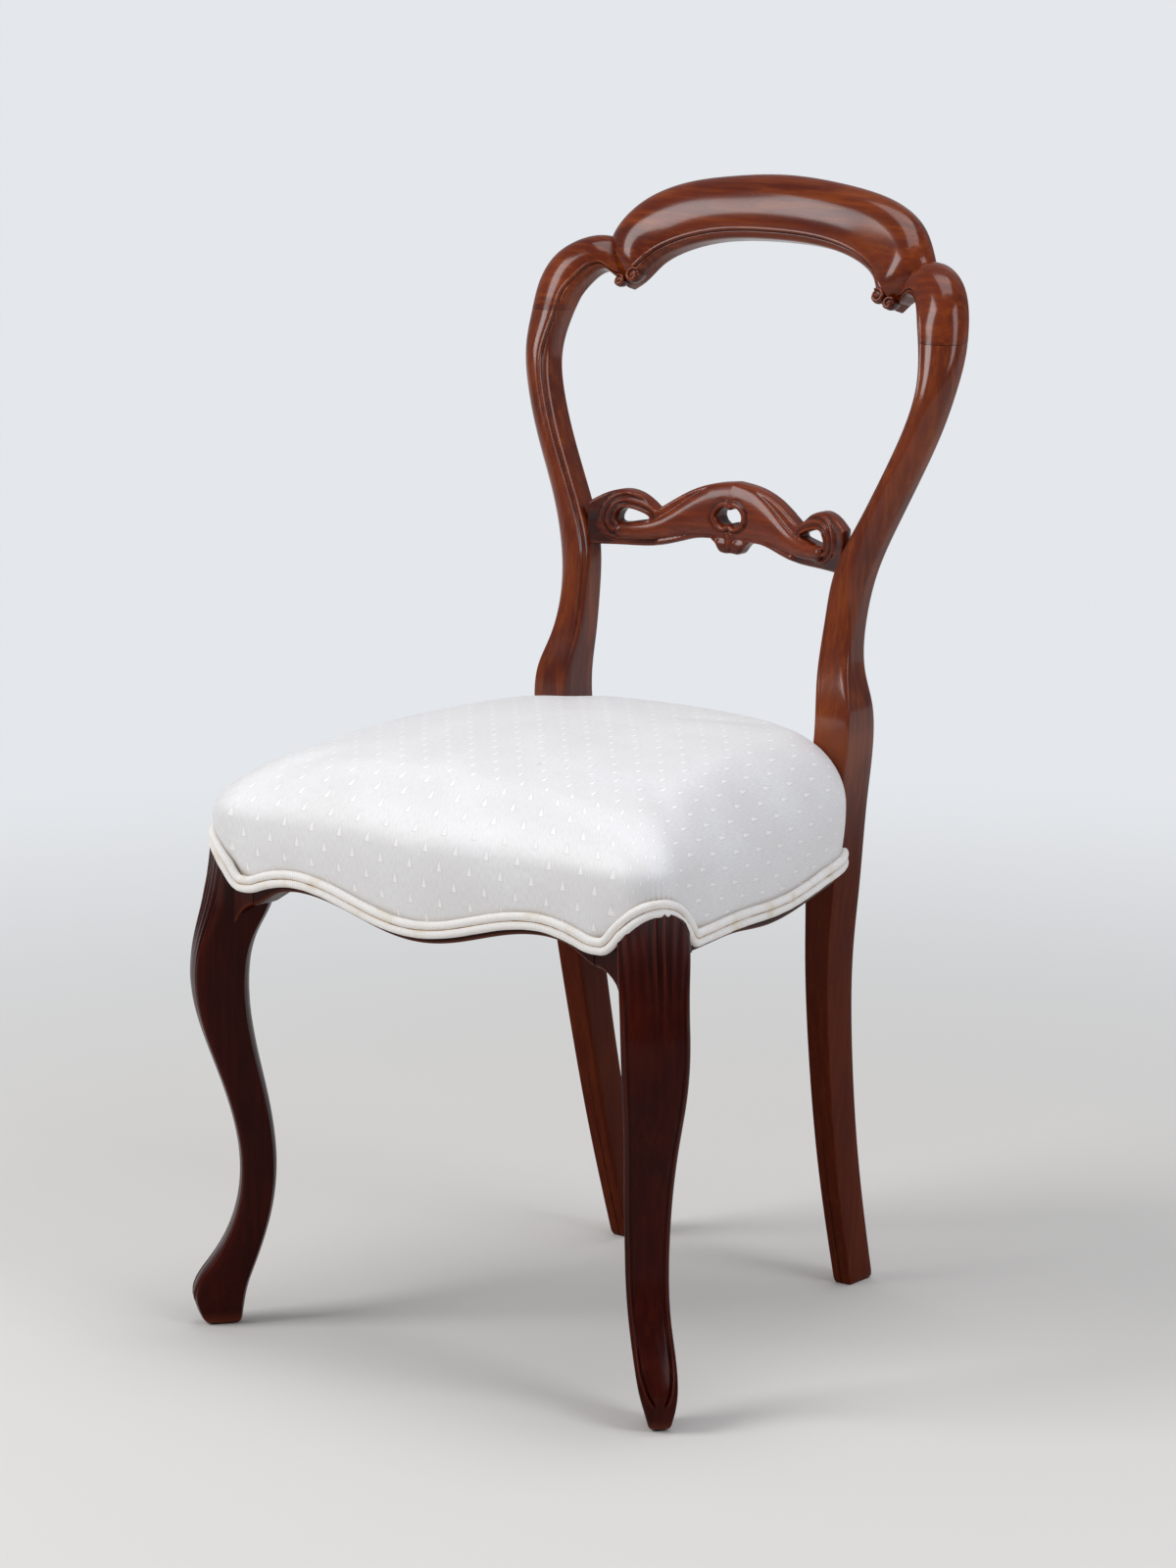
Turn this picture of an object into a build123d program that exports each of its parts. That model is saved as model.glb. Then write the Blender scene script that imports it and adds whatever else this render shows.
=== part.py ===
from build123d import *
import math
import os

os.makedirs("parts", exist_ok=True)

# Balloon back dining chair. Millimetres, Z up, X across, the front faces -Y.
# The origin is on the floor, below the middle of the chair's bounding box.

# Overall sizes. Every outline below is drawn for the three drawn sizes and follows these.
chair_width = 484.5
chair_depth = 499.0
chair_height = 886.0
drawn_width = 484.5
drawn_depth = 499.0
drawn_height = 886.0
wide = chair_width / drawn_width
deep = chair_depth / drawn_depth
tall = chair_height / drawn_height
middle_y = -10.9 * deep

# Wood
rail_thickness = 24.0
rail_top = 407.0 * tall
back_depth = 25.0
mid_rail_thickness = 17.0
dowel_radius = 4.75
dowel_length = 32.0
dowel_lift = 11.0
dowel_clearance = 0.45
back_wood = 356.0 * tall
block_top = 399.0 * tall
block_height = 26.0
screw_z = block_top - block_height / 2
screw_radius = 2.0
screw_length = 36.0
screw_head = 3.0
screw_head_radius = 4.2
tenon_length = 9.0

# Upholstery
cover_thickness = 1.5
pad_gap = 0.3
stile_gap = 0.4
dome_top = 478.5 * tall
dome_radius = 1400.0 * wide * deep / tall
dome_middle_y = -8.0 * deep
seat_roll = 24.0
roll_share = 0.8
cord_radius = 3.2
cord_gap = 0.5
cord_clearance = 0.2
cord_spacing = 2 * cord_radius + cord_clearance
web_width = 50.0
web_thickness = 1.4
web_step_x = 74.0 * wide
web_step_y = 78.0 * deep
web_front_y = -178.0 * deep
cover_tuck = 4.5
leg_trim_gap = 5.0
path_samples = 900
notch_blend = 5
hessian_thickness = 1.0

# Seat outline at the face of the cover
corner_x = 221.0 * wide
corner_y = -238.0 * deep
bow_y = -247.0 * deep
back_edge_y = 118.0 * deep
back_edge_x = 161.0 * wide
corner_round = 28.0
back_round = 82.0

# Feet
front_foot_x = 214.0 * wide
front_foot_y = -225.0 * deep
front_post_x = 166.0 * wide
front_post_y = -178.0 * deep
front_post_side_x = 208.0 * wide


def point(x, y, z):
    """A drawn point, stretched to the chair's overall sizes."""
    return Vector(x * wide, y * deep, z * tall)


def ease(start, end, share):
    """A value that glides from start to end as share runs from 0 to 1."""
    share = min(max(share, 0.0), 1.0)
    return start + (end - start) * (1 - math.cos(math.pi * share)) / 2


def box_between(low, high):
    """A box from its low corner to its high corner."""
    size = [b - a for a, b in zip(low, high)]
    middle = [(a + b) / 2 for a, b in zip(low, high)]
    return Pos(*middle) * Box(*size)


def both_sides(shape):
    """A shape on the right and its mirror image on the left."""
    return [shape, mirror(shape, about=Plane.YZ)]


# ---------------------------------------------------------------- seat outline


def seat_plan(grow):
    """The seat's outline from above, a bowed trapezoid, moved outward by grow."""
    front = ThreePointArc((-corner_x, corner_y), (0, bow_y), (corner_x, corner_y))
    right = Line((corner_x, corner_y), (back_edge_x, back_edge_y))
    back = Line((back_edge_x, back_edge_y), (-back_edge_x, back_edge_y))
    left = Line((-back_edge_x, back_edge_y), (-corner_x, corner_y))
    plan = make_face([front, right, back, left])
    front_corners = plan.vertices().sort_by(Axis.Y)[:2]
    plan = fillet(front_corners, corner_round)
    back_corners = plan.vertices().sort_by(Axis.Y)[-2:]
    plan = fillet(back_corners, back_round)
    if grow == 0:
        return plan
    return offset(plan, amount=grow)


def seat_block(grow, bottom):
    """The domed block inside the seat outline, with its rolled top edge."""
    top = dome_top + grow
    block = extrude(Pos(0, 0, bottom) * seat_plan(grow), amount=top - bottom)
    dome = Pos(0, dome_middle_y, top - dome_radius) * Sphere(dome_radius)
    block = block & dome
    rim = block.edges().filter_by(lambda edge: edge.center().Z > bottom + 1)
    rim = [edge for edge in rim if abs(edge.tangent_at(0.5).Z) < 0.5]
    corner_drop = (corner_x ** 2 + (corner_y - dome_middle_y) ** 2) / (2 * dome_radius)
    pad_low = rail_top + 2 * web_thickness + hessian_thickness + pad_gap
    wall = dome_top - corner_drop - pad_low
    roll = min(seat_roll, roll_share * wall)
    return fillet(rim, roll + grow)


def leg_across(x, y):
    """How far a plan point lies across the front leg's diagonal, 0 on its centre line."""
    return ((abs(x) - front_foot_x) + (y - front_foot_y)) / math.sqrt(2)


# The lower edge of the cover follows the rails and arches over each front leg.
arch_half = 31.5
arch_foot = 358.5 * tall
arch_rise = 30.5 * tall
front_low = 347.5 * tall
front_peak = 368.5 * tall
front_peak_x = 122.0 * wide
front_notch_x = 174.0 * wide
front_notch = 359.0 * tall
side_notch_y = -184.0 * deep
side_notch = 357.5 * tall
side_peak_y = -125.0 * deep
side_peak = 357.5 * tall
side_dip_y = -40.0 * deep
side_dip = 354.3 * tall
side_end_y = 88.0 * deep
side_end = 365.0 * tall


def front_edge(x):
    """Height of the trim's lower edge along the front."""
    if abs(x) < front_peak_x:
        return ease(front_low, front_peak, abs(x) / front_peak_x)
    return ease(front_peak, front_notch, (abs(x) - front_peak_x) / (front_notch_x - front_peak_x))


def side_edge(y):
    """Height of the trim's lower edge along the side."""
    if y < side_peak_y:
        return ease(side_notch, side_peak, (y - side_notch_y) / (side_peak_y - side_notch_y))
    if y < side_dip_y:
        return ease(side_peak, side_dip, (y - side_peak_y) / (side_dip_y - side_peak_y))
    return ease(side_dip, side_end, (y - side_dip_y) / (side_end_y - side_dip_y))


def arch_edge(across):
    """Height of the trim's lower edge over a front leg."""
    swell = (1 + math.cos(math.pi * min(abs(across) / arch_half, 1.0))) / 2
    return arch_foot + arch_rise * swell ** 0.75


def trim_edge(x, y):
    """Height of the trim's lower edge at a point of the seat's outline."""
    across = leg_across(x, y)
    if abs(across) < arch_half:
        return arch_edge(across)
    if across < 0:
        return front_edge(x)
    return side_edge(y)


def below_curve(height, start, end, plane, reach, lift):
    """Everything under a curve height(t) for t from start to end, drawn on a plane."""
    steps = 14
    low = -10.0
    stations = [start + (end - start) * i / steps for i in range(steps + 1)]
    crest = [(t, height(t) + lift) for t in stations]
    top = Spline(*crest)
    base = Polyline(crest[-1], (end, low), (start, low), crest[0])
    face = plane * make_face([top, base])
    return extrude(face, amount=reach, both=True)


def leg_plane(side):
    """The upright plane across a front leg's diagonal, its X running across the leg."""
    centre = (side * front_foot_x, front_foot_y, 0)
    return Plane(origin=centre, x_dir=(side, 1, 0), z_dir=(1, -side, 0))


def below_trim(lift):
    """Everything below the trim's lower edge raised by lift, all round the seat."""
    notch = front_notch_x + 16
    front = below_curve(front_edge, -notch, notch, Plane.XZ, 400, lift)
    front = front & box_between((-notch, -400, 0), (notch, -150 * deep, 600))
    sides = below_curve(side_edge, side_notch_y - 16, 200 * deep, Plane.YZ, 400, lift)
    body = front + (sides - box_between((-80, -400, 0), (80, 100 * deep, 600)))
    for side in (1, -1):
        arch = below_curve(arch_edge, -arch_half, arch_half, leg_plane(side), 62, lift)
        body = body + arch
    return body


# ---------------------------------------------------------------- back legs

# Each station: height, inner x, outer x, front y, thickness, crown of the front face.
lower_stations = [
    (0, 105.0, 121.5, 157.0, 32.0, 0.4),
    (100, 107.5, 125.5, 130.0, 33.0, 0.4),
    (200, 111.0, 131.0, 110.0, 34.0, 0.4),
    (290, 115.5, 138.0, 97.5, 37.0, 0.4),
    (340, 116.8, 143.5, 95.5, 38.5, 0.4),
]
seat_stations = [
    (340, 116.8, 143.5, 95.5, 38.5, 0.4),
    (412, 116.8, 150.0, 95.5, 39.0, 0.6),
    (462, 123.0, 155.5, 96.5, 37.5, 1.0),
]
stile_stations = [
    (462, 123.0, 155.5, 96.5, 37.5, 1.0),
    (487, 122.0, 154.0, 99.5, 34.0, 2.0),
    (509, 118.5, 148.0, 105.5, 27.5, 4.0),
    (549, 117.5, 145.0, 114.0, 23.5, 5.0),
    (588, 121.5, 151.5, 119.0, 24.0, 6.0),
    (627, 138.0, 166.5, 125.0, 24.5, 6.5),
    (666, 157.0, 184.5, 130.0, 25.0, 7.0),
    (705, 173.0, 200.0, 136.5, 25.0, 7.0),
    (740, 179.0, 208.5, 144.0, 25.0, 7.0),
    (769, 172.5, 209.5, 153.0, 25.0, 7.0),
]
stile_front_y = 95.5 * deep
stile_inner_x = 116.8 * wide


def round_front_section(inner, outer, facing, thickness, crown):
    """A section with a flat back and a crowned front, between its inner and outer edges."""
    across = (outer - inner).normalized()
    front = (facing - across * facing.dot(across)).normalized() * (thickness / 2)
    if crown == 0:
        corners = [inner + front, outer + front, outer - front, inner - front]
        return Face(Wire.make_polygon(corners, close=True))
    shoulder = front * (1 - 2 * crown / thickness)
    middle = (inner + outer) * 0.5
    face = ThreePointArc(inner + shoulder, middle + front, outer + shoulder)
    rest = Polyline(outer + shoulder, outer - front, inner - front, inner + shoulder)
    return Face(Wire([face] + list(rest.edges())))


def stile_section(height, inner, outer, front, thickness, crown):
    """One level section of a back leg or stile."""
    to_middle = Vector(0, thickness / 2, 0)
    inner_edge = point(inner, front, height) + to_middle
    outer_edge = point(outer, front, height) + to_middle
    return round_front_section(inner_edge, outer_edge, Vector(0, -1, 0), thickness, crown)


def back_leg():
    """The right back leg and its stile in one piece, up to the joint with the crest rail."""
    lower = loft([stile_section(*station) for station in lower_stations])
    middle = loft([stile_section(*station) for station in seat_stations], ruled=True)
    upper = loft([stile_section(*station) for station in stile_stations])
    return lower + middle + upper


# ---------------------------------------------------------------- crest rail

# Sections from the joint round the shoulder: inner edge, outer edge, tilt of the front face.
shoulder_stations = [
    ((172.5, 169.5, 781), (207.0, 171.0, 790), 0.15),
    ((166.0, 177.5, 792), (198.0, 178.0, 810), 0.30),
    ((157.0, 184.5, 799), (184.0, 186.5, 822), 0.33),
    ((147.0, 189.0, 800), (167.0, 194.5, 828), 0.33),
    ((137.0, 191.0, 793), (153.0, 198.5, 827), 0.33),
]
# Sections of the arch from the notch to the centre.
arch_stations = [
    ((122.0, 190.0, 791), (156.0, 200.5, 828), 0.33),
    ((109.0, 198.5, 808), (139.5, 210.0, 852), 0.33),
    ((89.0, 207.0, 820), (109.0, 219.0, 869.5), 0.33),
    ((52.0, 212.0, 829.5), (60.0, 225.0, 880), 0.33),
    ((0.0, 213.0, 832.5), (0.0, 226.5, 884.5), 0.33),
]


def crest_section(inner, outer, tilt, side):
    """One section of the crest rail on the right (side 1) or the left (side -1)."""
    inner_edge = point(side * inner[0], inner[1], inner[2])
    outer_edge = point(side * outer[0], outer[1], outer[2])
    facing = Vector(0, -1, tilt)
    return round_front_section(inner_edge, outer_edge, facing, back_depth, 7.0)


def crest_rail():
    """The crest rail: two shoulders and the arch between them, with a scroll at each notch."""
    joint = stile_section(*stile_stations[-1])
    shoulder = loft([joint] + [crest_section(*station, 1) for station in shoulder_stations])
    right = [crest_section(*station, 1) for station in arch_stations]
    left = [crest_section(*station, -1) for station in arch_stations[:-1]]
    arch = loft(left + right[::-1])
    scroll_axis = Plane(origin=point(130, 190, 795), z_dir=(0, -1, 0.33))
    scroll = scroll_axis * Cylinder(radius=9.0, height=back_depth + 1)
    body = arch
    for piece in both_sides(shoulder) + both_sides(scroll):
        body = body + piece
    return body


# ---------------------------------------------------------------- mid rail

mid_rail_y = 150.0 * deep
mid_rail_sag = 23.0 * deep
mid_rail_half = 118.0 * wide
mid_rail_rake = 6.9
mid_rail_z = 600.0 * tall
# Half outline of the mid rail: its top from the centre to the stile, its bottom coming back.
mid_top = [(0, 643.5), (24, 640), (44, 632.5), (60, 623), (70, 616.5)]
leaf_top = [(70, 616.5), (76, 621.5), (86, 628), (99, 631), (112, 628), (126, 620)]
mid_bottom = [(126, 586), (94, 586.5), (69, 587.5), (49, 592), (32, 596.3), (19, 597)]
pendant = [(19, 597), (13, 592), (9.5, 587.5), (0, 587)]
end_hole = [(102, 606.5), (99, 614.5), (89, 615.5), (75, 609.5), (88, 606)]


def outline(points):
    """A smooth curve through drawn x and z points."""
    return Spline(*[(x * wide, z * tall) for x, z in points])


def mid_rail_face():
    """The pierced front view of the mid rail."""
    half = [outline(mid_top), outline(leaf_top)]
    half.append(Line(half[-1] @ 1, (126 * wide, 586 * tall)))
    half.append(outline(mid_bottom))
    half.append(outline(pendant))
    half.append(Line(half[-1] @ 1, half[0] @ 0))
    right = make_face(half)
    whole = right + mirror(right, about=Plane.YZ)
    hole_points = [(x * wide, z * tall) for x, z in end_hole]
    hole = make_face(Spline(*hole_points, periodic=True))
    heart = Pos(0, 617 * tall) * Ellipse(13.5, 8.5)
    return whole - hole - mirror(hole, about=Plane.YZ) - heart


def mid_rail_slab():
    """The raked and dished slab that the mid rail is cut from."""
    radius = mid_rail_half ** 2 / (2 * mid_rail_sag) + mid_rail_sag / 2
    slab = Cylinder(radius + mid_rail_thickness, 160) - Cylinder(radius, 160)
    slab = Pos(0, mid_rail_y - radius, mid_rail_z) * slab
    hinge = Axis((0, mid_rail_y, mid_rail_z), (1, 0, 0))
    slab = slab.rotate(hinge, -mid_rail_rake)
    return slab & box_between((-180, 0, 400), (180, 400, 800))


def mid_rail_blank():
    """The mid rail before it is scribed to the stiles."""
    view = Plane.XZ * mid_rail_face()
    return extrude(view, amount=400, both=True) & mid_rail_slab()


def mid_rail_tenon(side):
    """The tenon at one end of the mid rail."""
    root = 112.0 * wide
    tip = (124.0 * wide) + tenon_length
    low = (min(side * root, side * tip), 130 * deep, 592 * tall)
    high = (max(side * root, side * tip), 138 * deep, 612 * tall)
    return box_between(low, high)


# ---------------------------------------------------------------- front legs

# Height, reach outward along the diagonal, reach inward, width, shift across the diagonal.
cabriole_stations = [
    (0, 14.0, -12.0, 17.0, -0.6),
    (12, 21.5, -14.5, 22.0, -1.2),
    (30, 24.5, -18.0, 29.0, -2.5),
    (52, 11.5, -25.6, 32.0, -3.5),
    (74, -1.1, -32.8, 32.0, -5.0),
    (100, -9.5, -39.0, 32.5, -6.0),
    (135, -12.3, -41.8, 34.0, -6.0),
    (175, -5.5, -37.8, 37.0, -6.0),
    (215, 7.5, -29.7, 41.5, -5.5),
    (250, 19.2, -23.6, 47.5, -5.0),
    (286, 24.4, -22.3, 51.5, -5.0),
    (319, 20.0, -29.6, 52.0, -5.0),
    (345, 13.5, -42.0, 52.0, -4.5),
    (372, 7.5, -43.0, 52.0, -4.0),
    (400, 4.0, -43.0, 51.0, -4.0),
]


def cabriole_section(height, reach, inset, width, shift):
    """One level section of the right front leg, its rounded front on the diagonal."""
    level = Plane(
        origin=(front_foot_x, front_foot_y, height * tall), x_dir=(1, -1, 0), z_dir=(0, 0, 1)
    )
    half = width / 2
    narrow = half * 0.8
    crown = 0.1 * width
    middle = (reach, shift)
    front = ThreePointArc((reach - crown, shift - half), middle, (reach - crown, shift + half))
    left = Line(front @ 1, (inset + crown, shift + narrow))
    back = ThreePointArc(left @ 1, (inset, shift), (inset + crown, shift - narrow))
    right = Line(back @ 1, front @ 0)
    return level * Face(Wire([front, left, back, right]))


def front_leg():
    """The right front leg: the cabriole, the square post and its ears under the rails."""
    leg = loft([cabriole_section(*station) for station in cabriole_stations])
    inside = extrude(seat_plan(-cover_thickness), amount=rail_top)
    leg = leg & box_between((0, -400, 0), (400, 0, rail_top))
    post_low = (front_post_x, -300 * deep, 333 * tall)
    post_high = (300 * wide, front_post_y, rail_top)
    post = inside & box_between(post_low, post_high)
    ear = 20.0 * tall
    ear_z = 334.0 * tall
    front_hollow = Cylinder(radius=ear, height=600, rotation=(90, 0, 0))
    side_hollow = Cylinder(radius=ear, height=600, rotation=(0, 90, 0))
    post = post - Pos(front_post_x - 4, 0, ear_z) * front_hollow
    post = post - Pos(0, front_post_y + 4, ear_z) * side_hollow
    under_skirt = (leg - inside) & below_trim(-leg_trim_gap)
    return (leg & inside) + under_skirt + post


# ---------------------------------------------------------------- seat rails

wood_lip = 5.5


def front_wood(x):
    """Height of the front rail's lower edge, the lip below the trim."""
    drop = ease(0, 6.0, (abs(x) - 135 * wide) / (34 * wide))
    return front_edge(x) - wood_lip - drop


def side_wood(y):
    """Height of a side rail's lower edge."""
    drop = ease(0, 3.0, (y - side_peak_y) / (side_dip_y - side_peak_y))
    return side_edge(y) - wood_lip - drop


def rail_ring():
    """The ring that the four seat rails are cut from."""
    outer = seat_plan(-cover_thickness)
    inner = seat_plan(-cover_thickness - rail_thickness)
    low = 330.0 * tall
    return extrude(Pos(0, 0, low) * (outer - inner), amount=rail_top - low)


def seat_rails():
    """Front, right and back seat rails, cut to meet the posts and the stiles."""
    ring = rail_ring()
    front_zone = box_between((-front_post_x, -400, 0), (front_post_x, -200 * deep, 600))
    front_cut = below_curve(front_wood, -front_post_x, front_post_x, Plane.XZ, 400, 0)
    front = (ring & front_zone) - front_cut
    right_zone = box_between((70 * wide, front_post_y, 0), (400, stile_front_y, 600))
    side_cut = below_curve(side_wood, front_post_y, stile_front_y, Plane.YZ, 400, 0)
    back_front_y = back_edge_y - cover_thickness - rail_thickness
    back_box = box_between((-stile_inner_x, back_front_y, back_wood), (stile_inner_x, 400, 600))
    right = (ring & right_zone) - side_cut - back_box
    back = ring & back_box
    return front, right, back


# ---------------------------------------------------------------- joints in the frame


def dowel_at(x, y, z, direction):
    """A plain dowel centred on a joint."""
    rod = Cylinder(radius=dowel_radius, height=dowel_length)
    return Plane(origin=(x, y, z), z_dir=direction) * rod


def rail_dowels():
    """The dowels of the right half of the seat frame, two to a joint."""
    dowels = []
    front_y = bow_y + cover_thickness + rail_thickness * 0.75
    side_x = front_post_side_x - cover_thickness - rail_thickness / 2
    back_y = back_edge_y - cover_thickness - rail_thickness / 2
    stile_x = stile_inner_x + dowel_length / 2 + dowel_radius + dowel_clearance
    for z in (screw_z - dowel_lift, screw_z + dowel_lift):
        dowels.append(dowel_at(front_post_x, front_y, z, (1, 0, 0)))
        dowels.append(dowel_at(side_x, front_post_y, z, (0, 1, 0)))
        dowels.append(dowel_at(stile_x, stile_front_y, z, (0, 1, 0)))
        dowels.append(dowel_at(stile_inner_x, back_y, z, (1, 0, 0)))
    return dowels


def crest_dowel():
    """The dowel in the right joint between stile and crest rail."""
    centre = point(189.5, 165.5, 769)
    return dowel_at(centre.X, centre.Y, centre.Z, (0, 0.3, 0.95))


def corner_blocks():
    """The glued corner blocks of the right half, front and back."""
    inner = extrude(seat_plan(-cover_thickness - rail_thickness), amount=block_top)
    inner = inner & box_between((-400, -400, block_top - block_height), (400, 400, block_top))
    front_cut = [(118 * wide, -400), (118 * wide, -216 * deep), (177 * wide, -132 * deep)]
    front_cut += [(400, -132 * deep), (400, -400)]
    back_cut = [(78 * wide, 400), (78 * wide, 94 * deep), (152 * wide, 20 * deep)]
    back_cut += [(400, 20 * deep), (400, 400)]
    post = box_between((front_post_x, -400, 0), (400, front_post_y, 600))
    back_rail_face = back_edge_y - cover_thickness - rail_thickness
    behind = box_between((-400, back_rail_face, 0), (400, 400, 600))
    stile = box_between((stile_inner_x, stile_front_y, 0), (400, 400, 600))
    blocks = []
    for corners in (front_cut, back_cut):
        wedge = extrude(make_face(Polyline(*corners, close=True)), amount=600)
        blocks.append((inner & wedge) - post - behind - stile)
    return blocks


def screw(start, direction):
    """A countersunk wood screw from its head at start into the wood."""
    shank = Pos(0, 0, screw_length / 2) * Cylinder(screw_radius, screw_length)
    head = Pos(0, 0, screw_head / 2) * Cone(screw_head_radius, screw_radius, screw_head)
    return Plane(origin=start, z_dir=direction) * (shank + head)


def corner_screws():
    """Two screws through each corner block of the right half, square to its long face."""
    screws = []
    faces = [((118, -216), (177, -132), (84, -59)), ((78, 94), (152, 20), (74, 74))]
    for start, end, out in faces:
        for share in (0.36, 0.70):
            x = (start[0] + (end[0] - start[0]) * share) * wide
            y = (start[1] + (end[1] - start[1]) * share) * deep
            screws.append(screw((x, y, screw_z), (out[0] * deep, out[1] * wide, 0)))
    return screws


# ---------------------------------------------------------------- upholstery


def stile_notch(gap):
    """What a part of the seat leaves free for the two stiles."""
    notch = box_between((stile_inner_x - gap, stile_front_y - gap, 0), (600, 600, 900))
    return notch + mirror(notch, about=Plane.YZ)


def seat_cover():
    """The fabric over the seat: a thin shell with its lower edge behind the trim."""
    bottom = 320.0 * tall
    shell = seat_block(0, bottom) - seat_block(-cover_thickness, bottom)
    shell = shell - below_trim(cover_tuck)
    return shell - stile_notch(stile_gap)


def seat_pad():
    """The stuffing between the hessian and the cover."""
    bottom = rail_top + 2 * web_thickness + hessian_thickness + pad_gap
    return seat_block(-cover_thickness - pad_gap, bottom) - stile_notch(stile_gap)


def flat_layer(bottom, thickness):
    """A flat layer over the seat frame, a little inside the rails' outer edge."""
    plan = seat_plan(-cover_thickness - 4)
    return extrude(Pos(0, 0, bottom) * plan, amount=thickness) - stile_notch(stile_gap)


def webbing_lengthwise():
    """The webbing straps that run from the front rail to the back rail."""
    layer = flat_layer(rail_top, web_thickness)
    straps = []
    for column in (-1.5, -0.5, 0.5, 1.5):
        x = column * web_step_x
        half = web_width / 2
        straps.append(layer & box_between((x - half, -400, 0), (x + half, 400, 600)))
    return straps


def webbing_crosswise():
    """The webbing straps that run from side rail to side rail, over the others."""
    layer = flat_layer(rail_top + web_thickness, web_thickness)
    straps = []
    for row in range(4):
        y = web_front_y + row * web_step_y
        half = web_width / 2
        straps.append(layer & box_between((-400, y - half, 0), (400, y + half, 600)))
    return straps


def trim_path(lift):
    """A line along the trim from stile to stile, lift above the seam between its two cords."""
    rail = seat_plan(cord_gap + cord_radius).face().outer_wire()
    spots = [rail.position_at(i / path_samples) for i in range(path_samples)]
    spots = [spot for spot in spots if spot.Y < stile_front_y - 4]
    spots = sorted(spots, key=lambda spot: math.atan2(spot.X, 60 * deep - spot.Y))
    edges = [trim_edge(spot.X, spot.Y) + 2 * cord_radius for spot in spots]
    heights = []
    for i in range(len(spots)):
        window = edges[max(i - notch_blend, 0): i + notch_blend + 1]
        heights.append(sum(window) / len(window))
    path = []
    for i in range(1, len(spots) - 1):
        along = spots[i + 1] - spots[i - 1]
        slope = math.atan2(heights[i + 1] - heights[i - 1], along.length)
        back = along.normalized() * (lift * math.sin(slope))
        here = spots[i] - back + Vector(0, 0, heights[i] + lift * math.cos(slope))
        near_arch = abs(leg_across(here.X, here.Y)) < arch_half + 12
        step = 5.0 if near_arch else 16.0
        if not path or (here - path[-1]).length > step:
            path.append(here)
    return path


def front_cord(lift):
    """A round cord along the front and both sides."""
    path = trim_path(lift)
    rings = []
    for before, here, after in zip(path[:1] + path, path, path[1:] + path[-1:]):
        along = after - before
        level = Plane(origin=here, x_dir=along.cross(Vector(0, 0, 1)), z_dir=along)
        rings.append((level * Circle(cord_radius)).face())
    return loft(rings, ruled=True)


def cord(lift):
    """One piping cord: its run round the front and its run between the stiles."""
    back_y = back_edge_y + cord_gap + cord_radius
    half = stile_inner_x - stile_gap
    back = Cylinder(cord_radius, 2 * half, rotation=(0, 90, 0))
    back = Pos(0, back_y, side_end + 2 * cord_radius + lift) * back
    return [front_cord(lift), back]


# ---------------------------------------------------------------- assembly


def joined(shapes):
    """Several solids kept apart in one node."""
    return Compound([shape for group in shapes for shape in group.solids()])


def minus(shape, tools):
    """A shape less each of the tools."""
    for tool in tools:
        shape = shape - tool
    return shape


right_dowels = rail_dowels()
all_dowels = right_dowels + [mirror(dowel, about=Plane.YZ) for dowel in right_dowels]
right_screws = corner_screws()
all_screws = right_screws + [mirror(piece, about=Plane.YZ) for piece in right_screws]
blocks = corner_blocks()
rail_front, rail_right, rail_back = seat_rails()

leg_right = minus(back_leg(), right_dowels + [crest_dowel(), mid_rail_tenon(1)])
post_right = minus(front_leg(), right_dowels + right_screws)
side_right = minus(rail_right, right_dowels + right_screws)
block_front = minus(blocks[0], right_screws + right_dowels)
block_back = minus(blocks[1], right_screws + right_dowels)
mid_rail = mid_rail_blank() - back_leg() - mirror(back_leg(), about=Plane.YZ)
mid_rail = mid_rail + mid_rail_tenon(1) + mid_rail_tenon(-1)

nodes = {
    "crest_rail": minus(crest_rail(), both_sides(crest_dowel())),
    "mid_rail": mid_rail,
    "back_leg_right": leg_right,
    "back_leg_left": mirror(leg_right, about=Plane.YZ),
    "front_leg_right": post_right,
    "front_leg_left": mirror(post_right, about=Plane.YZ),
    "seat_rail_front": minus(rail_front, all_dowels + all_screws),
    "seat_rail_right": side_right,
    "seat_rail_left": mirror(side_right, about=Plane.YZ),
    "seat_rail_back": minus(rail_back, all_dowels + all_screws),
    "corner_block_front_right": block_front,
    "corner_block_front_left": mirror(block_front, about=Plane.YZ),
    "corner_block_back_right": block_back,
    "corner_block_back_left": mirror(block_back, about=Plane.YZ),
    "corner_block_screws": joined(all_screws),
    "crest_dowels": joined(both_sides(crest_dowel())),
    "rail_dowels": joined(all_dowels),
    "webbing_lengthwise": joined(webbing_lengthwise()),
    "webbing_crosswise": joined(webbing_crosswise()),
    "hessian": flat_layer(rail_top + 2 * web_thickness, hessian_thickness),
    "seat_pad": seat_pad(),
    "seat_cover": seat_cover(),
    "piping_lower": joined(cord(-cord_spacing / 2)),
    "piping_upper": joined(cord(cord_spacing / 2)),
}

for name, shape in nodes.items():
    export_step(Pos(0, -middle_y, 0) * shape, "parts/" + name + ".step")
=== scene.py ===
import math

import bmesh
import bpy
import numpy as np
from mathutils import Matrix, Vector
from mathutils.geometry import delaunay_2d_cdt


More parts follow.
